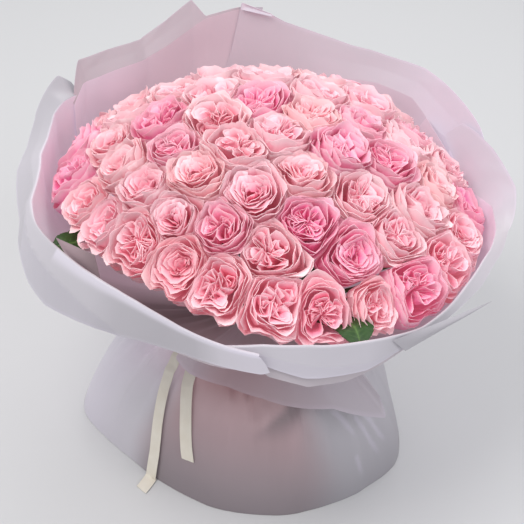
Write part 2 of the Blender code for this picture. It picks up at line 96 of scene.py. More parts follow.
# a named value on a piece's points: one for each point, or the same for all
def noteOnPoints(piece, name, values):
    note = piece.data.attributes.new(name, "FLOAT", "POINT")
    same = not isinstance(values, list)
    note.data.foreach_set("value", [values] * len(piece.data.vertices) if same else values)


# a grid whose points are then laid along place(across, along), both from 0 to 1
def laidGrid(name, columns, rows, place):
    bpy.ops.mesh.primitive_grid_add(x_subdivisions=columns, y_subdivisions=rows, size=1)
    piece = bpy.context.object
    piece.name = name
    piece.data.name = name
    noteOnPoints(piece, "rim", [point.co.y + 0.5 for point in piece.data.vertices])
    for point in piece.data.vertices:
        point.co = place(point.co.x + 0.5, point.co.y + 0.5)
    return piece


def thicken(piece, thickness):
    pickOnly(piece)
    solid = piece.modifiers.new("thickness", "SOLIDIFY")
    solid.thickness = thickness
    solid.offset = 0
    bpy.ops.object.modifier_apply(modifier=solid.name)


def finishPiece(piece, material, slot, *nodes, angle=60):
    pickOnly(piece)
    piece.data.materials.clear()
    piece.data.materials.append(material)
    bpy.ops.object.shade_smooth_by_angle(angle=math.radians(angle))
    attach(piece, "root")
    if nodes:
        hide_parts(*nodes)
    return piece


def makeCamera():
    tilt, roll = math.radians(camera["tilt"]), math.radians(camera["roll"])
    forward = Vector((0, math.cos(tilt), -math.sin(tilt)))
    right = Vector((1, 0, 0))
    up = right.cross(forward)
    across = math.cos(roll) * right + math.sin(roll) * up
    rise = math.cos(roll) * up - math.sin(roll) * right
    aim = Vector((axisX, axisY, camera["aimHeight"]))
    bpy.ops.object.camera_add(location=aim - camera["distance"] * forward)
    eye = bpy.context.object
    eye.rotation_euler = Matrix((across, rise, -forward)).transposed().to_euler()
    eye.data.lens = camera["lens"]
    bpy.context.scene.camera = eye


def makeStudio():
    bpy.ops.mesh.primitive_plane_add(size=studio["floorSize"], location=(0, 0, 0))
    floor = bpy.context.object
    floor.name = "studio_floor"
    surface = bpy.data.materials.new("studio floor")
    surface.use_nodes = True
    shader = surface.node_tree.nodes["Principled BSDF"]
    shader.inputs["Base Color"].default_value = (*studio["floor"], 1)
    shader.inputs["Roughness"].default_value = 0.9
    floor.data.materials.append(surface)
    world = bpy.data.worlds.new("studio")
    bpy.context.scene.world = world
    world.use_nodes = True
    world.node_tree.nodes["Background"].inputs["Color"].default_value = (0.97, 0.98, 1, 1)
    world.node_tree.nodes["Background"].inputs["Strength"].default_value = studio["world"]
    # name, place, size, power, colour
    lamps = [("key", (-1.0, -0.8, 2.3), 1.2, 33, (1, 0.99, 0.97)),
             ("fill", (1.5, -0.8, 1.9), 1.6, 14, (0.96, 0.97, 1)),
             ("back", (0.3, 1.7, 2.0), 1.4, 17, (1, 1, 1))]
    for name, place, size, power, colour in lamps:
        bpy.ops.object.light_add(type="AREA", location=place)
        lamp = bpy.context.object
        lamp.name = name
        lamp.data.size = size
        lamp.data.energy = power
        lamp.data.color = colour
        lamp.rotation_euler = (Vector((0, 0, 0.3)) - Vector(place)).to_track_quat("-Z", "Y").to_euler()
    view = bpy.context.scene.view_settings
    view.view_transform = "Standard"


def newMaterial(name, roughness):
    material = bpy.data.materials.new(name)
    material.use_nodes = True
    shader = material.node_tree.nodes["Principled BSDF"]
    shader.inputs["Roughness"].default_value = roughness
    return material, shader


def link(material, source, target):
    material.node_tree.links.new(source, target)


def addNode(material, kind, **settings):
    node = material.node_tree.nodes.new(kind)
    for name, value in settings.items():
        setattr(node, name, value)
    return node


def readNote(material, name):
    return addNode(material, "ShaderNodeAttribute", attribute_name=name).outputs["Fac"]


def mixColours(material, amount, first, second, blend="MIX"):
    mix = addNode(material, "ShaderNodeMix", data_type="RGBA", blend_type=blend)
    for slot, value in (("Factor", amount), ("A", first), ("B", second)):
        socket = next(s for s in mix.inputs if s.name == slot and s.type in
                      (("VALUE",) if slot == "Factor" else ("RGBA",)))
        if isinstance(value, bpy.types.NodeSocket):
            link(material, value, socket)
        else:
            socket.default_value = value if slot == "Factor" else (*value, 1)
    return next(s for s in mix.outputs if s.type == "RGBA")


def ramp(material, source, low, high):
    node = addNode(material, "ShaderNodeMapRange", interpolation_type="SMOOTHSTEP")
    link(material, source, node.inputs["Value"])
    node.inputs["From Min"].default_value = low
    node.inputs["From Max"].default_value = high
    return node.outputs["Result"]


def combine(material, operation, first, second):
    node = addNode(material, "ShaderNodeMath", operation=operation)
    for socket, value in zip(node.inputs, (first, second)):
        if isinstance(value, bpy.types.NodeSocket):
            link(material, value, socket)
        else:
            socket.default_value = value
    return node.outputs["Value"]


def times(material, first, second):
    return combine(material, "MULTIPLY", first, second)


# fine ridges and blotches for all the materials: gives a mask and a height
def makeGrainGroup():
    group = bpy.data.node_groups.new("soft grain", "ShaderNodeTree")
    for name in ("Scale", "Stretch"):
        group.interface.new_socket(name=name, in_out="INPUT", socket_type="NodeSocketFloat")
    group.interface.new_socket(name="Vector", in_out="INPUT", socket_type="NodeSocketVector")
    group.interface.new_socket(name="Mask", in_out="OUTPUT", socket_type="NodeSocketFloat")
    group.interface.new_socket(name="Height", in_out="OUTPUT", socket_type="NodeSocketFloat")
    enter = group.nodes.new("NodeGroupInput")
    leave = group.nodes.new("NodeGroupOutput")
    shape = group.nodes.new("ShaderNodeCombineXYZ")
    for k in (0, 2):
        shape.inputs[k].default_value = 1
    group.links.new(enter.outputs["Stretch"], shape.inputs["Y"])
    scaled = group.nodes.new("ShaderNodeVectorMath")
    scaled.operation = "MULTIPLY"
    group.links.new(enter.outputs["Vector"], scaled.inputs[0])
    group.links.new(shape.outputs["Vector"], scaled.inputs[1])
    for target, detail in (("Mask", 2.0), ("Height", 5.0)):
        clouds = group.nodes.new("ShaderNodeTexNoise")
        clouds.inputs["Detail"].default_value = detail
        group.links.new(scaled.outputs["Vector"], clouds.inputs["Vector"])
        group.links.new(enter.outputs["Scale"], clouds.inputs["Scale"])
        group.links.new(clouds.outputs["Fac"], leave.inputs[target])
    return group


grainGroup = makeGrainGroup()


def addGrain(material, vector, scale, stretch):
    node = addNode(material, "ShaderNodeGroup", node_tree=grainGroup)
    coordinates = addNode(material, "ShaderNodeTexCoord")
    link(material, coordinates.outputs[vector], node.inputs["Vector"])
    node.inputs["Scale"].default_value = scale
    node.inputs["Stretch"].default_value = stretch
    return node


def addBump(material, shader, height, strength, distance):
    bump = addNode(material, "ShaderNodeBump")
    bump.inputs["Strength"].default_value = strength
    bump.inputs["Distance"].default_value = distance
    link(material, height, bump.inputs["Height"])
    link(material, bump.outputs["Normal"], shader.inputs["Normal"])


# through is the colour of the petals' painted glow
petalColours = {"paleRim": (0.99, 0.85, 0.87), "pale": (0.97, 0.67, 0.715), "paleBase": (0.94, 0.40, 0.50),
                "heartRim": (0.96, 0.61, 0.69), "heart": (0.92, 0.27, 0.41), "heartBase": (0.84, 0.06, 0.20),
                "hot": (0.93, 0.18, 0.50), "peach": (0.98, 0.60, 0.52), "darkVein": (0.95, 0.87, 0.89),
                "lightVein": (1.04, 1.06, 1.05), "through": (0.97, 0.36, 0.47)}


def petalMaterial():
    material, shader = newMaterial("rose petal", 0.6)
    tone = petalColours
    rim, heart = readNote(material, "rim"), readNote(material, "heart")
    low, high = ramp(material, rim, 0.25, 0.7), ramp(material, rim, 0.74, 1.0)
    outer = mixColours(material, low, tone["paleBase"], tone["pale"])
    outer = mixColours(material, high, outer, tone["paleRim"])
    inner = mixColours(material, low, tone["heartBase"], tone["heart"])
    inner = mixColours(material, high, inner, tone["heartRim"])
    colour = mixColours(material, heart, outer, inner)
    # warmer and hotter blooms
    colour = mixColours(material, times(material, readNote(material, "peach"), 0.5), colour, tone["peach"])
    cool = combine(material, "SUBTRACT", 1.0, times(material, high, 0.6))
    hot = times(material, readNote(material, "hot"), cool)
    colour = mixColours(material, hot, colour, tone["hot"])
    veins = addGrain(material, "UV", 9.0, 0.12)
    blotches = addGrain(material, "Object", 55.0, 1.0)
    shade = combine(material, "ADD", times(material, veins.outputs["Height"], 0.30),
                    times(material, blotches.outputs["Mask"], 0.30))
    shade = combine(material, "ADD", shade, times(material, readNote(material, "blush"), 0.10))
    mottle = mixColours(material, shade, tone["darkVein"], tone["lightVein"])
    colour = mixColours(material, 1.0, colour, mottle, "MULTIPLY")
    link(material, colour, shader.inputs["Base Color"])
    rough = combine(material, "ADD", 0.45, times(material, veins.outputs["Mask"], 0.3))
    link(material, rough, shader.inputs["Roughness"])
    # painted glow: the petals glow faintly in place of light that comes through them, a little more low in
    # front
    link(material, mixColours(material, 0.6, colour, tone["through"]), shader.inputs["Emission Color"])
    glow = combine(material, "ADD", 0.055, times(material, readNote(material, "low"), 0.04))
    link(material, glow, shader.inputs["Emission Strength"])
    shader.inputs["Specular IOR Level"].default_value = 0.35
    addBump(material, shader, veins.outputs["Height"], 0.25, 0.0006)
    return material


def stemMaterial():
    material, shader = newMaterial("rose stem", 0.5)
    mottle = addGrain(material, "Object", 90.0, 1.0)
    colour = mixColours(material, mottle.outputs["Mask"], (0.05, 0.13, 0.03), (0.16, 0.27, 0.07))
    link(material, colour, shader.inputs["Base Color"])
    addBump(material, shader, mottle.outputs["Height"], 0.3, 0.0006)
    return material


# tint is the film's own colour; the others are painted: a darker pink for the blooms' pink light and shade, a
# paler colour for painted light, a near black for painted shade, and the colour and strengths of a painted
# glow
film = {"tint": (0.49, 0.47, 0.51), "pinkShade": (0.49, 0.27, 0.28), "pale": (0.62, 0.585, 0.67),
        "paintedShade": (0.10, 0.095, 0.105), "through": (0.90, 0.69, 0.83), "roughness": 0.28, "glow": 0.12,
        "paintedGlow": 0.17}


def filmMaterial():
    material, shader = newMaterial("frosted film", film["roughness"])
    haze = addGrain(material, "Object", 7.0, 1.0)
    frost = addGrain(material, "Object", 900.0, 1.0)
    # painted light and shade: the pale note paints light and highlights, the pink and dark notes paint the
    # blooms' pink light and shade
    colour = mixColours(material, readNote(material, "pale"), film["tint"], film["pale"])
    colour = mixColours(material, readNote(material, "pinkShade"), colour, film["pinkShade"])
    colour = mixColours(material, readNote(material, "paintedShade"), colour, film["paintedShade"])
    cloudy = mixColours(material, haze.outputs["Mask"], (0.92, 0.91, 0.92), (1.03, 1.03, 1.03))
    colour = mixColours(material, 1.0, colour, cloudy, "MULTIPLY")
    link(material, colour, shader.inputs["Base Color"])
    rough = combine(material, "ADD", film["roughness"], times(material, haze.outputs["Mask"], 0.24))
    link(material, rough, shader.inputs["Roughness"])
    # painted glow: the film glows in place of light that comes through it
    paintedGlow = readNote(material, "paintedGlow")
    link(material, mixColours(material, paintedGlow, colour, film["through"]), shader.inputs["Emission Color"])
    extra = times(material, paintedGlow, film["paintedGlow"] - film["glow"] * 0.6)
    link(material, combine(material, "ADD", extra, film["glow"]), shader.inputs["Emission Strength"])
    addBump(material, shader, frost.outputs["Height"], 0.06, 0.0003)
    return material


bloom = {"focusHeight": 0.14720, "depth": 0.058, "radius": 0.0345, "petal": 0.00040,
         "tipShare": 0.98, "lean": 11, "gap": -0.0010, "widest": 0.0378, "fillOut": 1.15,
         "clear": 0.016, "headFrom": 0.295, "headSpan": 0.095, "forkBand": (0.03, 0.13),
         "domeLimit": 0.268, "crumple": 0.0030, "heartCrumple": 0.0055}
# how much a petal of the cup waves, and a folded petal of the heart
cupWaves = {"lipOut": 0.0018, "lipRise": 0.0016, "lipBumps": 0.0020, "bumps": 0.0036}
foldWaves = {"curlOut": 0.0020, "ripple": 0.0026, "wave": 0.0026, "droop": 0.0030, "bumps": 0.0034,
             "curlDown": 0.0010}

# the cup's rings, outermost first: petals, radius, height, flare, roll, half width, drop at the sides
cupRings = [(4, 1.00, 0.79, 0.16, 0.0048, 60, 0.20), (5, 0.94, 0.90, 0.08, 0.0042, 50, 0.16),
            (5, 0.87, 0.97, 0.02, 0.0034, 47, 0.12), (5, 0.79, 1.01, -0.03, 0.0026, 47, 0.10)]

# hearts: quartered ones have packets of folded petals, wound ones have rings that tighten inwards
bloomKinds = [{"packets": 4, "folds": 4, "open": 0.68, "sink": 0.09, "stray": 0.16, "seed": 3},
              {"packets": 3, "folds": 5, "open": 0.70, "sink": 0.12, "stray": 0.20, "seed": 11},
              {"packets": 5, "folds": 4, "open": 0.68, "sink": 0.08, "stray": 0.18, "seed": 19},
              {"packets": 0, "folds": 7, "open": 0.68, "sink": 0.09, "stray": 0.10, "seed": 27},
              {"packets": 4, "folds": 5, "open": 0.66, "sink": 0.04, "stray": 0.22, "seed": 35},
              {"packets": 0, "folds": 7, "open": 0.70, "sink": 0.16, "stray": 0.14, "seed": 43},
              {"packets": 2, "folds": 6, "open": 0.70, "sink": 0.10, "stray": 0.14, "seed": 52}]


# one petal of the cup: across from -1 to 1, along from 0 at the base to 1 at the rim
def cupPetal(ring, middle, seed):
    count, radius, height, flare, roll, halfWidth, drop = ring
    wide = bloom["radius"] * radius * (1 + 0.05 * random.uniform(-1, 1))
    tall = bloom["depth"] * height * (1 + 0.05 * random.uniform(-1, 1))
    twist = 0.045 * bloom["radius"]
    wave, phase = random.uniform(2.2, 4.2), random.uniform(0, 6.3)
    point = random.uniform(-0.03, 0.07)

    def place(across, along):
        u = 2 * across - 1
        v = along * (1 - drop * abs(u) ** 2.6 + point * (math.exp(-(u / 0.25) ** 2) - 0.4))
        spread = math.sin(math.pi * (0.12 + 0.60 * v)) ** 0.6
        turn = math.radians(middle + halfWidth * u * spread)
        far = 0.10 + 0.90 * math.sin(min(v / 0.70, 1) * math.pi / 2) ** 0.8
        far = wide * (far + flare * max(0, (v - 0.5) / 0.5) ** 2)
        curl = max(0, (v - 0.78) / 0.22) + 0.5 * max(0, abs(u) - 0.7) / 0.3 * v
        lip = v ** 3
        bumpy = noise.noise(Vector((u * 1.5 + seed, v * 1.8, seed * 0.7)))
        far += (twist * u + roll * curl ** 2 + cupWaves["lipOut"] * lip * math.sin(wave * u + phase)
                + cupWaves["bumps"] * bumpy * v)
        rise = (tall * v ** 1.3 - 0.7 * roll * curl ** 3
                + cupWaves["lipRise"] * lip * math.cos(wave * 1.3 * u + phase))
        rise += cupWaves["lipBumps"] * lip * noise.noise(Vector((u * 2.2, seed * 1.9, 4.0)))
        return Vector((far * math.cos(turn), far * math.sin(turn), rise))

    return place


# one folded petal of the heart, which runs in from the middle, round and back
def foldPetal(middle, reach, halfTurn, inward, height, seed, centre):
    phase = random.uniform(0, 6.3)
    wave = random.uniform(2.6, 4.6)
    tilt = random.uniform(-0.16, 0.16)

    def place(across, along):
        u = 2 * across - 1
        turn = middle + halfTurn * (math.sin(u * math.pi / 2) if inward < 0.9 else u)
        far = reach * (1 - (1 - inward) * abs(u) ** 4.5) * (1 + tilt * u)
        swell = 0.5 + 0.5 * along ** 0.7
        curl = max(0, (along - 0.6) / 0.4) ** 2
        ripple = noise.noise(Vector((u * 2.1 + seed, along * 1.5, seed * 1.3)))
        far = far * swell + foldWaves["curlOut"] * curl + foldWaves["ripple"] * ripple * along
        turn += math.radians(4.5 * math.sin(wave * u + phase) * along ** 2)
        rise = bloom["depth"] * (0.40 + (height - 0.40) * along)
        rise += (foldWaves["wave"] * math.cos(wave * 1.2 * u + phase)
                 - foldWaves["droop"] * u * u * (1 - inward)) * along ** 2
        bumpy = noise.noise(Vector((u * 1.7, seed * 2.3, 8.0)))
        rise += foldWaves["bumps"] * bumpy * along ** 2 - foldWaves["curlDown"] * curl
        return Vector((centre[0] + far * math.cos(turn), centre[1] + far * math.sin(turn), rise))

    return place


def addPetal(petals, columns, rows, place, heart, blush):
    petal = laidGrid("petal", columns, rows, place)
    noteOnPoints(petal, "heart", heart)
    noteOnPoints(petal, "blush", blush)
    petals.append(petal)


def joinPieces(pieces, name):
    pickOnly(*pieces)
    bpy.ops.object.join()
    joined = bpy.context.object
    joined.name = name
    joined.data.name = name
    return joined


def makeBloomKind(number, kind):
    random.seed(kind["seed"])
    petals = []
    start = random.uniform(0, 72)
    for level, ring in enumerate(cupRings):
        count = ring[0]
        fine = (10, 6) if level < 3 else (9, 5)
        for k in range(count):
            middle = start + 360 * (k + 0.5 * (level % 2)) / count + level * 9 + random.uniform(-9, 9)
            place = cupPetal(ring, middle, kind["seed"] + level * 7 + k)
            addPetal(petals, *fine, place, 0.15 * level, random.uniform(-1, 1))
    openTo = bloom["radius"] * kind["open"]
    stray = openTo * kind["stray"]
    if kind["packets"]:
        shares = [random.uniform(0.55, 1.5) for _ in range(kind["packets"])]
        edge = math.radians(start)
        for p, share in enumerate(shares):
            half = math.pi * share / sum(shares)
            for k in range(kind["folds"]):
                deep = k / kind["folds"]
                centre = (random.uniform(-stray, stray), random.uniform(-stray, stray))
                place = foldPetal(edge + half + random.uniform(-0.25, 0.25) * half,
                                  openTo * (1 - 0.70 * deep) * random.uniform(0.92, 1.08),
                                  0.97 * half * (1 - 0.8 * deep), 0.14,
                                  0.98 - kind["sink"] * (0.4 + deep) + random.uniform(-0.04, 0.04),
                                  kind["seed"] + p * 9 + k * 2.3, centre)
                addPetal(petals, 10, 4, place, 0.62 + 0.38 * deep, random.uniform(-1, 1))
            edge += 2 * half
    else:
        for k in range(kind["folds"]):
            deep = k / kind["folds"]
            arms = 4 if k < 2 else 3
            for p in range(arms):
                middle = 2 * math.pi * (p + 0.5 * (k % 2)) / arms + 0.5 * k + random.uniform(-0.3, 0.3)
                centre = [random.uniform(-stray, stray) * (1 - deep) for _ in range(2)]
                place = foldPetal(middle, openTo * (1 - 0.95 * deep), 1.25 * math.pi / arms, 0.96,
                                  0.98 - kind["sink"] * (0.3 + deep) + random.uniform(-0.03, 0.03),
                                  kind["seed"] + p * 5 + k * 3.1, centre)
                addPetal(petals, 10, 4, place, 0.58 + 0.42 * deep, random.uniform(-1, 1))
    flower = joinPieces(petals, "bloom_kind_%d" % number)
    thicken(flower, bloom["petal"])
    # the whole bloom is crumpled a little, most in its heart
    for point in flower.data.vertices:
        p = point.co
        soft = [noise.noise(p * 60 + Vector((number * 3.1, 7 * k, 1))) for k in range(3)]
        fine = [noise.noise(p * 150 + Vector((number * 1.7, 5 * k, 3))) for k in range(3)]
        inner = 1 - smoothStep(0.012, 0.027, math.hypot(p.x, p.y))
        push = (bloom["crumple"] + bloom["heartCrumple"] * inner) * smoothStep(0.005, 0.03, p.length)
        point.co = p + push * (Vector(soft) + (0.05 + 0.27 * inner) * Vector(fine))
    return flower


# the blooms of one rose, read from its solid: each one's axis, how far out its base is and its stem's
# route.  A spray has two, the second on a side shoot.
def readRose(node):
    focus = Vector((axisX, axisY, bloom["focusHeight"]))
    points = [v.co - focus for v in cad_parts[node].data.vertices]
    heads = [p for p in points if p.length > bloom["headFrom"]]
    middle = sum(heads, Vector()) / len(heads)
    first = max(heads, key=lambda p: (p - middle).length)
    last = max(heads, key=lambda p: (p - first).length)
    spray = (first - last).length > bloom["headSpan"]
    nearFirst = [p for p in heads if not spray or (p - first).length < (p - last).length]
    blooms = []
    for head in [nearFirst, [p for p in heads if p not in nearFirst]] if spray else [heads]:
        furthest = max(p.length for p in head)
        cap = [p for p in head if p.length > furthest - 0.0015]
        tip = sum(cap, Vector()) / len(cap)
        blooms.append({"node": node, "name": node[-2:], "axis": tip.normalized(),
                       "base": tip.length - bloom["tipShare"] * bloom["depth"]})
    low, high = (tieHeight + away for away in bloom["forkBand"])
    world = [p + focus for p in points]
    rings = [[p for p in world if p.z < 0.001], [p for p in world if abs(p.z - tieHeight) < 0.004],
             [p for p in world if low < p.z < high]]
    route = [sum(ring, Vector()) / len(ring) for ring in rings if ring]
    if spray:
        fork = route.pop()
        halfway = [(route[1] + focus + b["axis"] * b["base"]) / 2 for b in blooms]
        if (halfway[1] - fork).length < (halfway[0] - fork).length:
            blooms.reverse()
            halfway.reverse()
        blooms[1]["route"] = [halfway[0]]
        blooms[1]["name"] += "_side"
    blooms[0]["route"] = route
    return blooms


# furthest slope at which a bloom may spread towards a side without meeting its neighbour
def roomTowards(axis, side, others):
    slope = 10.0
    for other in others:
        towards = other.dot(side)
        if towards > 0.02:
            slope = min(slope, (1 - axis.dot(other)) / towards)
    return slope


# petals that would reach the film are pressed back towards the bouquet's axis
def insideWrap(point):
    x, y = point.x - axisX, point.y - axisY
    out = math.hypot(x, y)
    wall = through([(h, r) for r, h in wrapWall], point.z - tieHeight)
    limit = min(wall, bloom["domeLimit"]) - bloom["clear"]
    if out < limit or point.z < tieHeight + 0.02:
        return point
    held = limit + 0.004 * (1 - math.exp(-(out - limit) / 0.010))
    return Vector((axisX + x * held / out, axisY + y * held / out, point.z))


def placeBloom(rose, flower, others, material, peach, hot):
    random.seed(rose["seed"])
    axis = rose["axis"]
    focus = Vector((axisX, axisY, bloom["focusHeight"]))
    side = axis.orthogonal().normalized()
    over = axis.cross(side)
    turn = Matrix.Rotation(random.uniform(0, 2 * math.pi), 4, "Z")
    lean = math.radians(bloom["lean"])
    tipOver = Matrix.Rotation(random.uniform(-lean, lean), 4, "X") @ Matrix.Rotation(
        random.uniform(-lean, lean), 4, "Y")
    grow = random.uniform(0.92, 1.07) * (0.84 if rose["byLeaf"] else 1)
    near = [o for o in others if o.dot(axis) > 0.8 and o is not axis]
    rooms = []
    for k in range(73):
        angle = 2 * math.pi * k / 72
        rooms.append(roomTowards(axis, math.cos(angle) * side + math.sin(angle) * over, near))
    mesh = flower.data.copy()
    piece = bpy.data.objects.new("bloom_" + rose["name"], mesh)
    bpy.context.collection.objects.link(piece)
    pivot = Vector((0, 0, bloom["depth"] * 0.35))
    for point in mesh.vertices:
        p = grow * (tipOver @ (turn @ (point.co - pivot))) + pivot
        height = rose["base"] + p.z
        out = math.hypot(p.x, p.y)
        if out > 1e-6:
            angle = math.atan2(p.y, p.x) % (2 * math.pi) / (2 * math.pi) * 72
            k = int(angle)
            room = rooms[k] + (rooms[k + 1] - rooms[k]) * (angle - k)
            free = smoothStep(0.30, 0.60, room)
            limit = min(height * room - bloom["gap"], bloom["widest"] * (1.15 - 0.25 * free))
            press = min(limit / bloom["widest"], bloom["fillOut"] - 0.2 * free) - 1
            held = min(out * (1 + press * min(out / bloom["widest"], 1) ** 1.5), limit)
            p = Vector((p.x * held / out, p.y * held / out, p.z))
        point.co = insideWrap(focus + axis * height + side * p.x + over * p.y)
    noteOnPoints(piece, "peach", peach)
    noteOnPoints(piece, "hot", hot)
    # painted glow: the front's lower blooms glow a little more, in place of the light they catch off the
    # floor and the cuff
    front = smoothStep(0.25, -0.35, axis.y)
    noteOnPoints(piece, "low", front * (1 - smoothStep(0.68, 0.86, axis.z)))
    return finishPiece(piece, material, "rose", rose["node"])


# the wrap's wall from the tie outwards: (distance from the axis, height above the tie)
wrapWall = [(0.0420, 0.001), (0.0423, 0.0094), (0.060, 0.017), (0.115, 0.037), (0.180, 0.066),
            (0.243, 0.106), (0.271, 0.149), (0.281, 0.195), (0.285, 0.240), (0.288, 0.290)]
# how upright the wall is, for laying one sheet over another: (height above the tie, share)
wrapUpright = [(0.001, 1.0), (0.0094, 0.75), (0.019, 0.5), (0.065, 0.55), (0.155, 0.9), (0.295, 1.0)]
wrap = {"thick": 0.0004, "layer": 0.0013, "opens": 0.12, "rim": 0.991, "scallop": 0.009, "flat": 0.026,
        "flatAt": 188, "flatReach": 60, "pleatDepth": 0.0016, "folds": 0.0030, "creases": 0.0026,
        "rollFrom": 0.60, "rollTo": 0.68, "rollRadius": 0.0020, "wallPitch": 84, "rows": 78, "flare": 0.0094,
        "folding": 0.085, "bandWave": 0.0050, "bandCrease": 0.0050, "gather": 0.0022}
